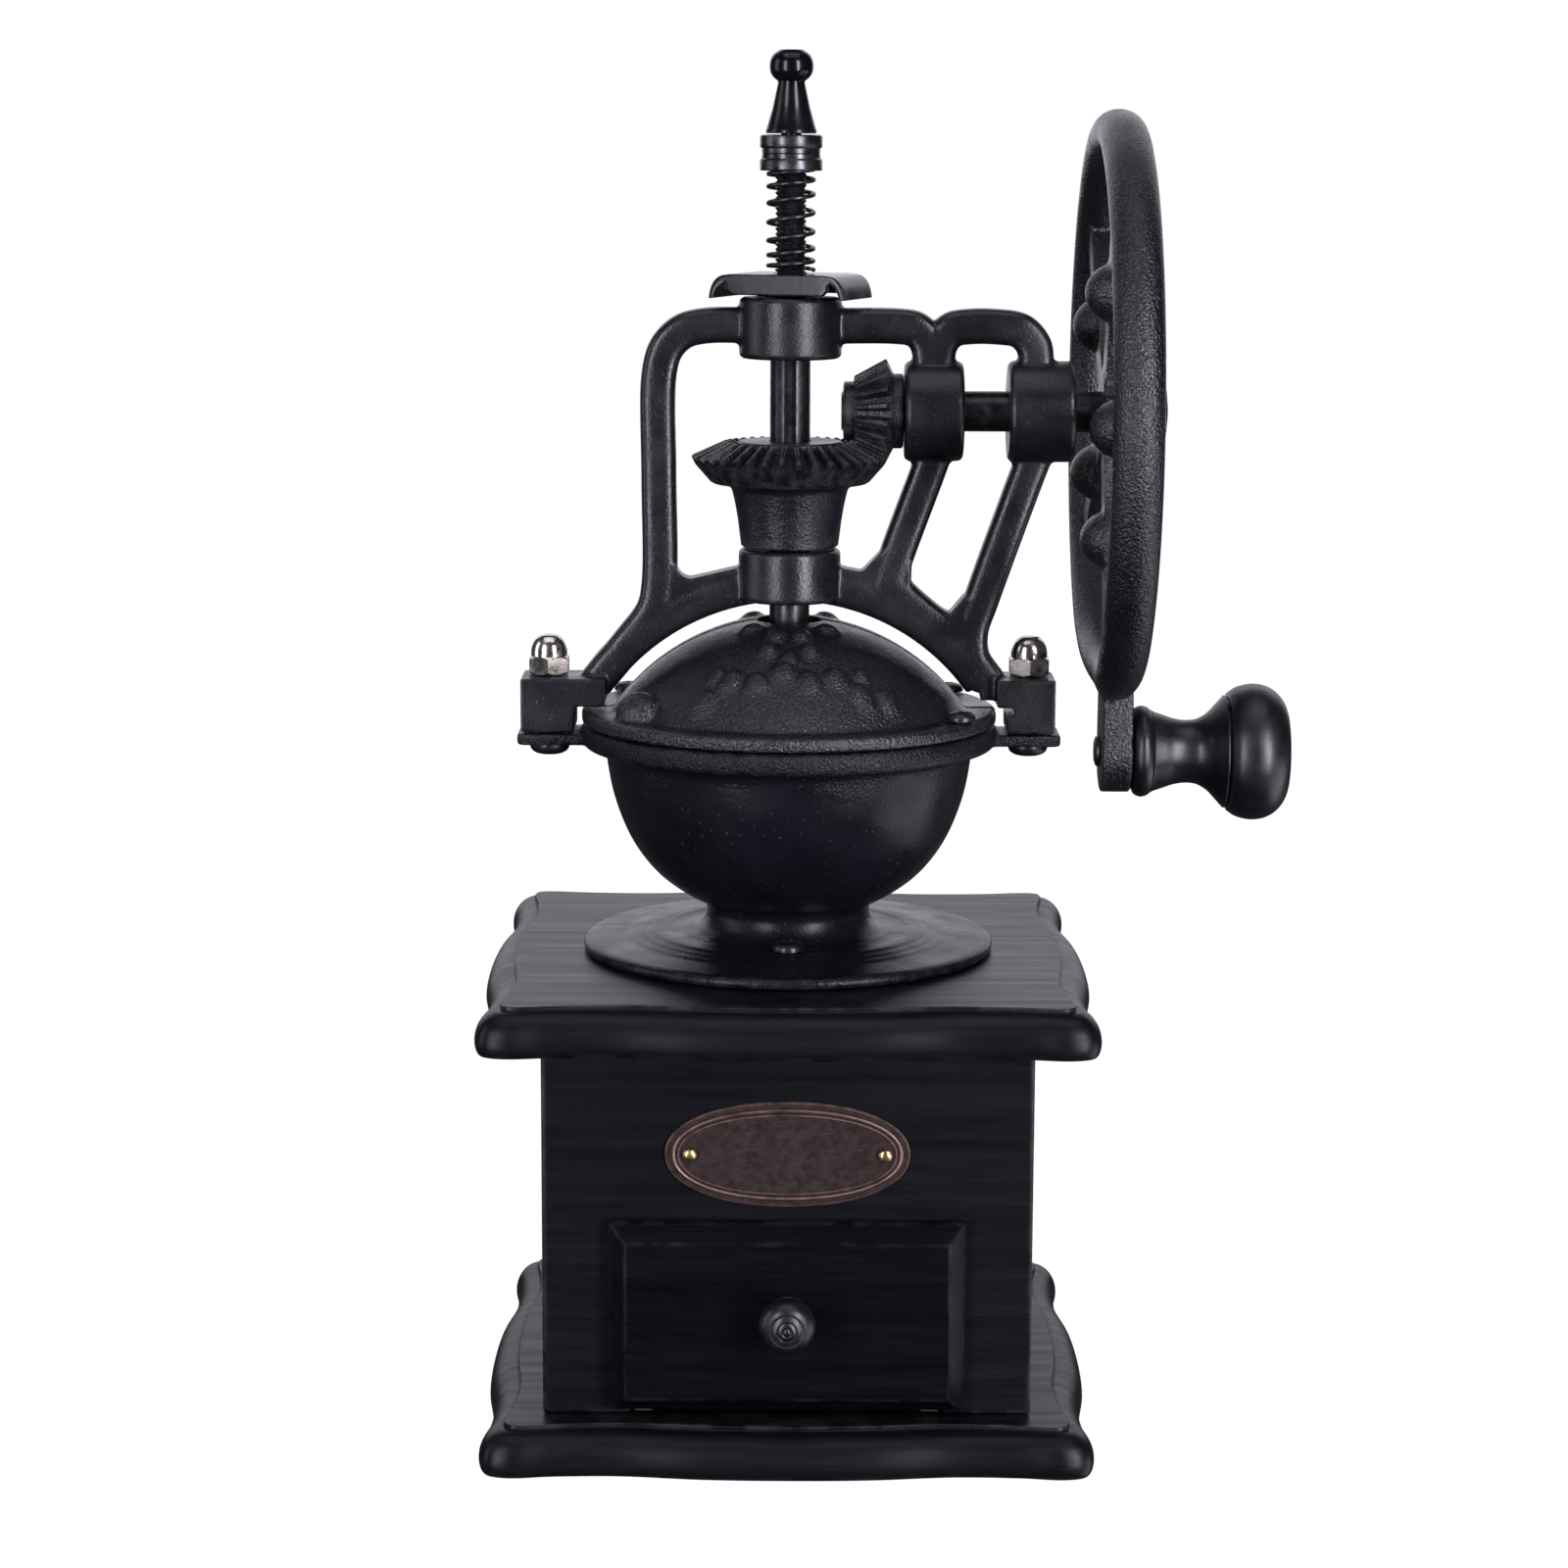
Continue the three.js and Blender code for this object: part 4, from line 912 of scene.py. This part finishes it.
def yoke_bars():
    ends = 35.4
    arch = arc(0, ARCH["z"], ARCH["r"], ends, 180 - ends, 40)
    left = [
        (-6, BAR_Z), (-21, BAR_Z), (-26.7, BAR_Z - 1.5), (-30.7, BAR_Z - 5.5), (-32.5, 260),
        (-32.6, 235), (-32.6, 208), (-34.1, 201.1), (-40.6, 192.3), (-48.6, 182.7),
    ]
    top_left = [
        (6, BAR_Z), (27, BAR_Z), (31.2, BAR_Z - 0.8), (33.9, BAR_Z - 4.2), (34.7, 262), (34.8, 257),
    ]
    top_right = [
        (36.2, 257), (36.3, 262), (37.1, BAR_Z - 4.2), (39.8, BAR_Z - 0.8), (44, BAR_Z), (51, BAR_Z),
        (56.9, BAR_Z - 1), (60.1, BAR_Z - 4.4), (60.7, 265), (60.4, 258),
    ]
    inner_leg = [(36.4, 242), (33.9, 234.9), (26.4, 214.1), (23.4, 204)]
    outer_leg = [(62, 243), (59.3, 236), (48.1, 204.2), (45.5, 196), (46, 189.5), (50.3, 183)]
    sill = [(25.9, 206.9), (31.5, 201.7), (38, 197.1), (45, 196)]
    bars = [bar(points, BEAD_R) for points in (left, top_left, top_right, inner_leg, outer_leg, sill)]
    bars.append(tube([(x, 0, z) for x, z in arch], BEAD_R, 32, 3.6))
    return bars


def yoke_webs():
    under = ARCH["r"] - 2.5
    left = [
        (-12, 203), (-12, 212.4), *arc(-24.6, 213, 3.6, 270, 180, 6), (-33, 213), (-33.5, 204),
        (-48.5, 184.2), *arc(0, ARCH["z"], under, 145, 102.5, 16),
    ]
    right = [
        *arc(0, ARCH["z"], under, 77.5, 35, 16), (49.5, 184.2), (46.5, 192), (48.5, 204),
        (43.5, 205), (39.2, 199.8), (30.3, 207.2), (30.5, 214), (23.5, 217), (18, 211.2), (12, 212.4),
    ]
    return [prism(left, -4, 4), prism(right, -4, 4)]


def yoke_feet():
    foot_top, seat = 184.7, EAR_TOP + GAP
    feet = []
    for x0, x1, arm in ((-67, -53.6, -46), (56.4, 66.5, 51.9)):
        feet.append(block(x0, x1, -8.5, 8.5, seat, foot_top))
        feet.append(block(min(x0, arm), max(x1, arm), -8.5, 8.5, 177.6, foot_top))
    feet.append(block(48, 54, -4.4, 4.4, 179, 184.6))
    feet.append(block(54.4, 60, -8.5, 8.5, seat, 175.6))
    return feet


def build_yoke():
    z0, z1 = 264, high("yoke")[2]
    bosses = [
        rod(12.7, z0, z1, 96, 0.8),
        rod(12.7, 203.7, 216.8, 96, 0.8),
        along_x(rod(12.3, 28.3, 42.9, 96, 0.8)),
        along_x(rod(12.5, 54, high("yoke")[0], 96, 0.8)),
    ]
    casting = together(*yoke_bars(), *yoke_webs(), *yoke_feet(), *bosses)
    upright = [rod(BORE_R, 190, 290), *bolt_bores(165, 190)]
    make("yoke", casting, skin=(0.5, 5), cuts=[upright, [along_x(rod(BORE_R, 20, 80))]])


def nut_rings(across, z0, z1, chamfer, sides=96):
    """The rings of a hexagon nut whose corners are turned off at both ends."""
    turn = (np.arange(sides) * TAU / sides + TAU / 12) % (TAU / 6) - TAU / 12
    hexagon = across / 2 / np.cos(turn)
    corner = across / math.sqrt(3)
    flat = across / 2 * 0.985
    rings = []
    steps = np.linspace(0, 1, 6)
    heights = [z0 + chamfer * s for s in steps] + [z1 - chamfer * s for s in steps[::-1]]
    for z in heights:
        end = min(z - z0, z1 - z) / chamfer
        limit = flat + (corner - flat) * min(1.0, end)
        ring = circle(1, z, sides)
        ring[:, :2] *= np.minimum(hexagon, limit)[:, None]
        rings.append(ring)
    return rings


def build_yoke_fasteners():
    for side in ("left", "right"):
        node = f"cap_nut_{side}"
        x = centre(node)[0]
        z0, top = low(node)[2], high(node)[2]
        hexagon = nut_rings(9.7, z0, z0 + 4.6, 0.7)
        hollow = [circle(3.4, z, 96) for z in (z0 + 4.6, z0)]
        crown = rounded([
            (4.55, z0 + 4.5), (4.5, z0 + 6), (4.2, z0 + 7.4), (3.4, z0 + 8.8), (2.2, z0 + 9.7), (0, top),
        ])
        crown[-1] = (0, top)
        cap = lathe([(0, z0 + 6.2), (3.3, z0 + 6.2), (3.3, z0 + 4), (4.5, z0 + 4), *crown], 64)
        nut = moved(together(loft([*hexagon, *hollow], closed=True), cap), x)
        make(node, nut, sharp=30)

        head = [
            (0, 164.5), *rounded([(1.5, 164.55), (3.4, 164.9), (4.6, 165.7), (5, 166.6)], 4), (5, 167.5),
            (3, 167.5), (3, 190.2), (0, 190.8),
        ]
        make(f"yoke_bolt_{side}", moved(lathe(head, 64), x))


# -------------------- gears
GEAR_TEETH, PINION_TEETH = 36, 18
CONE = {"outer": 27, "inner": 18, "addendum": 0.95, "dedendum": 1.25}
# A tooth's outline across its width: (share of a tooth's pitch from its middle, share of its height).
TOOTH = [
    (-0.31, 0), (-0.285, 0.06), (-0.225, 0.42), (-0.165, 0.8), (-0.13, 0.96), (-0.1, 1),
    (0.1, 1), (0.13, 0.96), (0.165, 0.8), (0.225, 0.42), (0.285, 0.06), (0.31, 0),
]


def tooth_ring(teeth, angle, distance, phase, lift=0.0):
    """The teeth's outline at a distance from the pitch cones' apex, with the axis along +Z."""
    scale = distance / CONE["outer"]
    root, tip = -CONE["dedendum"], CONE["addendum"] - lift
    points = []
    for i in range(teeth):
        for shift, share in TOOTH:
            height = (root + (tip - root) * share) * scale
            r = math.sin(angle) * distance + math.cos(angle) * height
            z = math.cos(angle) * distance - math.sin(angle) * height
            turn = TAU * (i + shift) / teeth + phase
            points.append((r * math.cos(turn), r * math.sin(turn), z))
    return np.array(points)


def plain_ring(teeth, r, z, phase):
    """A circle with a point for each point of a tooth ring."""
    turns = np.array([TAU * (i + shift) / teeth + phase for i in range(teeth) for shift, _ in TOOTH])
    return np.column_stack([r * np.cos(turns), r * np.sin(turns), np.full(len(turns), z)])


def build_gears():
    pinion_angle = math.atan(PINION_TEETH / GEAR_TEETH)
    gear_angle = TAU / 4 - pinion_angle
    outer, inner = CONE["outer"], CONE["inner"]
    phase = math.pi / GEAR_TEETH

    def gear_ring(distance, lift=0.0):
        ring = tooth_ring(GEAR_TEETH, gear_angle, distance, phase, lift)
        ring[:, 2] = SHAFT_Z - ring[:, 2]
        return ring

    back = [plain_ring(GEAR_TEETH, r, z, phase) for r, z in ((11, 233.2), (19.2, 233.2), (19.9, 233.6))]
    crown = loft([
        *back, gear_ring(outer, 0.15), gear_ring(outer - 0.3), gear_ring(inner + 0.3),
        gear_ring(inner, 0.15), plain_ring(GEAR_TEETH, 11, 241, phase),
    ], closed=True)
    z0, z1 = low("bevel_gear")[2], high("bevel_gear")[2]
    hub = lathe([
        (BORE_R, z0), (11.7, z0), (12.15, z0 + 0.4), *rounded([(12.5, 220.5), (13.1, 225), (14.1, 230),
        (14.7, 231.8), (16.6, 233.1), (18.4, 233.5)]), (18.4, 234.4), (13, 234.4), (13, z1 - 0.4),
        (12.6, z1), (BORE_R, z1),
    ], 144)
    make("bevel_gear", together(crown, hub), GEAR_IRON, sharp=28)

    cones = ((inner, 0.15), (inner + 0.3, 0), (outer - 0.3, 0), (outer, 0.15))
    teeth = loft([
        plain_ring(PINION_TEETH, 6, 15.6, 0),
        *[tooth_ring(PINION_TEETH, pinion_angle, distance, 0, lift) for distance, lift in cones],
        *[plain_ring(PINION_TEETH, r, 25.6, 0) for r in (9.25, 6)],
    ], closed=True)
    x0, x1 = low("pinion")[0], high("pinion")[0]
    nose = lathe([(BORE_R, x0), (6.9, x0), (7.3, x0 + 0.4), (7.3, 26), (BORE_R, 26)])
    collar = lathe([(BORE_R, 25), (9.25, 25), (9.25, x1 - 0.4), (8.85, x1), (BORE_R, x1)])
    make("pinion", along_x(together(teeth, nose, collar)), GEAR_IRON, sharp=28)


# -------------------- threads and shafts
def threaded(r, z0, z1, pitch, depth, sides=48, per_turn=8):
    """The rings of a screw thread about Z, from z0 up to z1, run out at both ends."""
    rings = []
    for z in np.arange(z0, z1 + 1e-6, pitch / per_turn):
        turn = np.arange(sides) / sides
        wave = np.abs(((z / pitch - turn) % 1) * 2 - 1)
        fade = min(1.0, (z - z0) / 1.0, (z1 - z) / 0.8)
        ring = circle(1, z, sides)
        ring[:, :2] *= (r - 0.05 - depth * max(fade, 0) * (1 - wave))[:, None]
        rings.append(ring)
    return rings


def build_spindle():
    z0, z1 = low("spindle")[2], high("spindle")[2]
    sides = 48
    lower = [
        (3.6, z0), (THREAD_R, z0 + 0.5), (THREAD_R, 138), (SPINDLE_R, 138.1), (SPINDLE_R, 277.6),
    ]
    upper = [(2.5, 318.4), (2.5, z1)]
    rings = [circle(1e-6, z0, sides), *[circle(r, z, sides) for r, z in lower]]
    rings += threaded(THREAD_R, 278.2, 318.2, THREAD_PITCH, 0.62, sides)
    rings += [*[circle(r, z, sides) for r, z in upper], circle(1e-6, z1, sides)]
    make("spindle", loft(rings), sharp=30, cuts=[[block(-1.5, 1.5, -6, -3.2, 206, 276)]])


def build_adjuster():
    collar = [
        (4.3, 314.4), (4.3, 318.5), (7.1, 318.5), (7.55, 318.3), (7.7, 317.9), (7.7, 315.7),
        (7.5, 315.35), (7.2, 315.2), (7.2, 314.1), (7.0, 313.95), (7.2, 313.8), (7.2, 312.8),
        (7.5, 312.6), (7.7, 312.2), (7.7, 310.2), (7.45, 309.8), (6.75, 309.8), (6.75, 314.4),
    ]
    make("spring_collar", lathe(collar, 96), COLLAR_STEEL, sharp=30)

    z1 = high("finial")[2]
    finial = [
        (2.8, 318.8), (6.0, 318.8), (6.3, 319.0), (6.3, 319.5), (6.1, 319.9), (4.6, 325), (3.3, 331.0),
        *rounded([(3.45, 331.5), (4.5, 332.4), (5.25, 333.7), (5.4, 335.1), (5.15, 336.6), (4.4, 337.9),
                  (3.4, 338.6)], 5),
        (2.9, 338.95), (2.4, z1), (0, z1), (0, 326.2), (2.8, 326.2),
    ]
    make("finial", lathe(finial, closed=True), sharp=30)

    nut_low, nut_high = low("adjusting_nut")[2], high("adjusting_nut")[2]
    sides = 240
    knurl = 1 - 0.018 * (np.arange(sides) % 4 // 2)
    rings = [circle(THREAD_R + GAP, nut_low, sides), circle(8.2, nut_low, sides)]
    for z in (nut_low + 0.4, nut_high - 0.4):
        ring = circle(8.6, z, sides)
        ring[:, :2] *= knurl[:, None]
        rings.append(ring)
    rings += [circle(8.2, nut_high, sides), circle(THREAD_R + GAP, nut_high, sides)]
    make("adjusting_nut", loft(rings, closed=True))
    build_locking_plate()
    build_spring()


def build_locking_plate():
    """A pressed plate: its ends curl down as finger wings and its long sides fold down."""
    sheet, turn = 1.6, -20.5
    top = high("locking_plate")[2]
    outside = rounded([(17.8, 278.7), (17.4, 280.8), (16.5, 282.9), (14.8, 284.3), (12, top)], 5)
    inside = [(16.2, 278.9), (15.8, 280.5), (14.8, 281.9), (13.4, 282.7), (11.6, top - sheet)]
    half = outside + [(0, top)]
    lower = rounded(inside, 5) + [(0, top - sheet)]
    outline = half + [(-x, z) for x, z in reversed(half[:-1])]
    outline += [(-x, z) for x, z in lower[:-1]] + [(x, z) for x, z in reversed(lower)]
    arch = prism(outline, -10.5, 10.5)
    skirts = []
    for side in (-1, 1):
        edge = [(12, 279.7), (13.3, 280.9), (13.3, top - 0.3)]
        rim = [(-13.3, 280.9), (-12, 279.7), *edge, (-13.3, top - 0.3)]
        skirts.append(prism(rim, side * 9.7 - 0.8, side * 9.7 + 0.8))
    plate = new_object("locking_plate_look", together(arch, *skirts))
    cast(plate, 0.28, 5)
    cut(plate, rod(THREAD_R + 0.4, 270, 290))
    plate.data.transform(Matrix.Rotation(math.radians(turn), 4, "Z"))
    stand_for(plate, "locking_plate")


def build_spring():
    wire, coil_r, turns = 0.55, 5.6, 7.5
    start = low("adjuster_spring")[2] + wire
    end = high("adjuster_spring")[2] - wire
    t = np.linspace(0, 1, int(turns * 40) + 1)
    angle = TAU * turns * t
    # The first and last turns lie close, and the turns between them are open.
    z = start + (end - start) * (t - 0.062 * np.sin(TAU * t))
    path = np.column_stack([coil_r * np.cos(angle), coil_r * np.sin(angle), z])
    spring = make("adjuster_spring", tube(path, wire, 12))
    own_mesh(spring)


# -------------------- shaft, handwheel and handle
WHEEL = {
    "r": 68.8, "section": 5.3, "rim_half": 6.1, "hub_r": 11, "spokes": 5, "first_deg": 39, "boss_at": 32,
}
LUG = {"turn": 0.75 * TAU, "reach": 0.35, "draw_in": 3.4, "narrow": 0.34, "x": (78.3, 86)}


def build_shaft():
    x0, x1 = low("drive_shaft")[0], high("drive_shaft")[0]
    sides = 48
    plain = [(1e-6, x0), (4.5, x0), (5, x0 + 0.5), (5, 86.2), (3.9, 86.25)]
    rings = [circle(r, x, sides) for r, x in plain]
    rings += threaded(3.9, 86.4, 93.0, 1.0, 0.5, sides)
    rings += [circle(3.3, x1, sides), circle(1e-6, x1, sides)]
    keyway = block(19.2, 28.3, -1.5, 1.5, SHAFT_Z + 3.2, SHAFT_Z + 8)
    make("drive_shaft", along_x(loft(rings)), sharp=30, cuts=[[keyway]])


def wheel_spoke(turn):
    """One flat spoke that swells round a domed boss, turned about the wheel's axis."""
    outline = spline([(6, 5.2), (14, 4.7), (22, 4.6), (32, 7.2), (42, 4), (54, 3.9), (66, 4.8)], 4)
    edge = [(r, half) for r, half in outline] + [(r, -half) for r, half in outline[::-1]]
    flat = loft([[(r, y, z) for r, y in edge] for z in (-2.8, 2.8)])
    bosses = [moved(scaled(dome(7.5, 8.6), 1, 1, face), WHEEL["boss_at"]) for face in (-1, 1)]
    spoke = turned(together(flat, *bosses), "Z", 90)
    return turned(turned(spoke, "Y", 90), "X", turn)


def build_wheel():
    r, section = WHEEL["r"], WHEEL["section"]
    swell = WHEEL["rim_half"] / section
    rings = []
    for t in np.arange(180) * TAU / 180:
        # Towards the lug at the bottom the rim draws in and narrows, to run into it.
        near = math.exp(-(((t - LUG["turn"]) / LUG["reach"]) ** 2))
        around = circle(section, 0, 32)
        out = r - LUG["draw_in"] * near + around[:, 0]
        wide = swell - LUG["narrow"] * near
        rings.append(np.column_stack([wide * around[:, 1], out * math.cos(t), out * math.sin(t)]))
    rim = loft(rings, closed=True)
    hub = turned(rod(WHEEL["hub_r"], 77 - WHEEL_X, 86 - WHEEL_X, 96, 0.6), "Y", 90)
    spokes = [wheel_spoke(WHEEL["first_deg"] + 360 / WHEEL["spokes"] * k) for k in range(WHEEL["spokes"])]
    wheel = moved(together(rim, hub, *spokes), WHEEL_X, 0, SHAFT_Z)
    sides = [(-8.6, 183), (-9.6, 172), *arc(0, HANDLE_Z, 10.3, 180, 360, 24), (9.6, 172), (8.6, 183)]
    lug = loft([[(x, y, z) for y, z in sides] for x in LUG["x"]])
    holes = [along_x(rod(3.1, 70, 90, 32), HANDLE_Z), along_x(rod(BORE_R, 70, 90))]
    make("handwheel", together(wheel, lug), skin=(0.62, 4), cuts=[holes])

    washer = [(4.4, 86.5), (8.7, 86.5), (9, 86.8), (9, 87.7), (8.7, 88), (4.4, 88)]
    make("wheel_washer", along_x(lathe(washer)))
    nut = nut_rings(13, 88.3, 93, 0.9)
    nut += [circle(4.2, x, 96) for x in (93, 88.3)]
    make("wheel_nut", along_x(loft(nut, closed=True)), sharp=30)


def build_handle():
    x0, x1 = low("handle_bolt")[0], high("handle_bolt")[0]
    bolt = [
        (0, x0), (2.6, x0), (3.6, x0 + 0.3), (4, x0 + 0.9), (4, 78), (2.8, 78), (2.8, 121), (4.8, 121),
        (4.8, 122.6), (4.4, 123.2), (3.2, x1), (0, x1),
    ]
    make("handle_bolt", along_x(lathe(bolt, 48), HANDLE_Z))

    inner, outer = low("handle_knob")[0], high("handle_knob")[0]
    bead = rounded([
        (9.6, inner), (10.7, inner + 0.5), (11.5, inner + 2.1), (11.2, inner + 3.7), (10.4, inner + 4.8),
    ], 5)
    waist = rounded([
        (10.15, inner + 5.2), (9.9, inner + 5.9), (9.2, inner + 8), (8.4, inner + 10.4), (7.95, inner + 13.4),
        (8.3, inner + 16.4), (9.8, inner + 19), (12.1, inner + 21.2), (14.2, inner + 23.1),
    ])
    waist += [(14.1, inner + 23.4), (13.2, inner + 23.6), (13.3, inner + 23.9)]
    lobe = rounded([
        (14.9, inner + 24.1), (16.2, inner + 26), (16.95, inner + 28.5), (17.15, inner + 30.6),
        (16.7, inner + 33.4), (15.3, inner + 36), (13, inner + 38), (10.6, inner + 39), (9.0, outer - 0.25),
    ])
    grooves = [(10.05, inner + 4.95), (10.3, inner + 5.05)]
    end = [(8.7, outer - 0.3), (8.4, outer - 0.05), (7.2, outer), (5.9, outer - 0.05), (5.6, outer - 0.3)]
    bore = [(5.6, 120.7), (3.1, 120.7), (3.1, inner)]
    knob = lathe([*bead, *grooves, *waist, *lobe, *end, *bore], 120)
    make("handle_knob", along_x(knob, HANDLE_Z), TURNED_X, sharp=50)


# -------------------- what stays inside
def dress_hidden():
    """The CAD solids that hardly show keep their shape and get a finish."""
    burrs = ("outer_burr", "inner_burr", "burr_nut", "burr_screw_1", "burr_screw_2")
    for node in (*burrs, "gear_key", "pinion_key"):
        solid = frame["nodes"][node]
        solid.data.materials.clear()
        solid.data.materials.append(FINISHES[SLOT_OF[node]])


# -------------------- studio
LIGHT_COLOUR = (0.925, 0.89, 1.0)
LIGHT_TARGET = (0.0, 0.0, 0.18)
CAMERA = {"lens": 86.8, "place": (-0.0018, -0.94, 0.322), "tilt_deg": 80.04, "roll_deg": -0.22}


def surrounding(tree, colour, strength):
    made = tree.nodes.new("ShaderNodeBackground")
    made.inputs["Color"].default_value = (*colour, 1)
    made.inputs["Strength"].default_value = strength
    return made.outputs[0]


def build_studio():
    """A white surrounding that the camera sees, and a dim one that lights the mill."""
    world = bpy.data.worlds.new("studio")
    world.use_nodes = True
    bpy.context.scene.world = world
    tree = world.node_tree
    tree.nodes.clear()
    out = tree.nodes.new("ShaderNodeOutputWorld")
    ray = tree.nodes.new("ShaderNodeLightPath")
    mix = tree.nodes.new("ShaderNodeMixShader")
    tree.links.new(ray.outputs["Is Camera Ray"], mix.inputs[0])
    tree.links.new(surrounding(tree, (0.95, 0.97, 1), 0.05), mix.inputs[1])
    tree.links.new(surrounding(tree, (1, 1, 1), 1.0), mix.inputs[2])
    tree.links.new(mix.outputs[0], out.inputs[0])

    floor = new_object("floor", (circle(20000, -0.2, 96), [tuple(range(96))]))
    f = Finish("floor_pale", specular=0.2)
    spread = f.noise(400, 2.0)
    f.set(f.blend(spread, (0.03, 0.03, 0.03), (0.04, 0.04, 0.04)), f.between(spread, 0, 1, 0.6, 0.7))
    f.shader.inputs["Emission Color"].default_value = (1, 1, 1, 1)
    f.shader.inputs["Emission Strength"].default_value = 1.0
    floor.data.materials.append(f.made)
    floor.visible_diffuse = floor.visible_glossy = floor.visible_shadow = False


def add_light(name, azimuth, elevation, distance, width, height, power):
    """A softbox that faces the mill; azimuth 0 is in front of it and 90 is at its right."""
    light = bpy.data.lights.new(name, "AREA")
    light.shape = "RECTANGLE"
    light.size, light.size_y, light.energy = width, height, power
    light.color = LIGHT_COLOUR
    lamp = placed(name, light)
    a, e = math.radians(azimuth), math.radians(elevation)
    back = np.array((math.sin(a) * math.cos(e), -math.cos(a) * math.cos(e), math.sin(e)))
    lamp.location = np.array(LIGHT_TARGET) + back * distance
    lamp.rotation_euler = (math.radians(90 - elevation), 0, a)
    lamp.visible_camera = False


def build_lights():
    add_light("softbox_left", -33, 6, 1.25, 0.3, 1.2, 13)
    add_light("softbox_right", 36, 8, 1.25, 0.28, 1.2, 23)
    add_light("softbox_top", 0, 80, 1.2, 1.2, 1.0, 5)
    add_light("side_left", -85, 10, 1.3, 0.5, 1.2, 4)
    add_light("table_bounce", 85, -30, 0.9, 0.7, 0.6, 3)
    add_light("backdrop", 180, 20, 1.6, 2.4, 1.4, 12)


def build_camera():
    camera = bpy.data.cameras.new("camera")
    camera.sensor_width = 36
    camera.lens = CAMERA["lens"]
    holder = placed("camera", camera)
    holder.location = CAMERA["place"]
    holder.rotation_euler = (math.radians(CAMERA["tilt_deg"]), math.radians(CAMERA["roll_deg"]), 0)
    bpy.context.scene.camera = holder


build_camera()
build_studio()
build_lights()
build_plates()
build_box()
build_drawer()
build_nameplate()
build_bowl()
build_lid()
build_screws()
build_yoke()
build_yoke_fasteners()
build_gears()
build_spindle()
build_adjuster()
build_shaft()
build_wheel()
build_handle()
dress_hidden()

bpy.context.scene.view_settings.view_transform = "Standard"
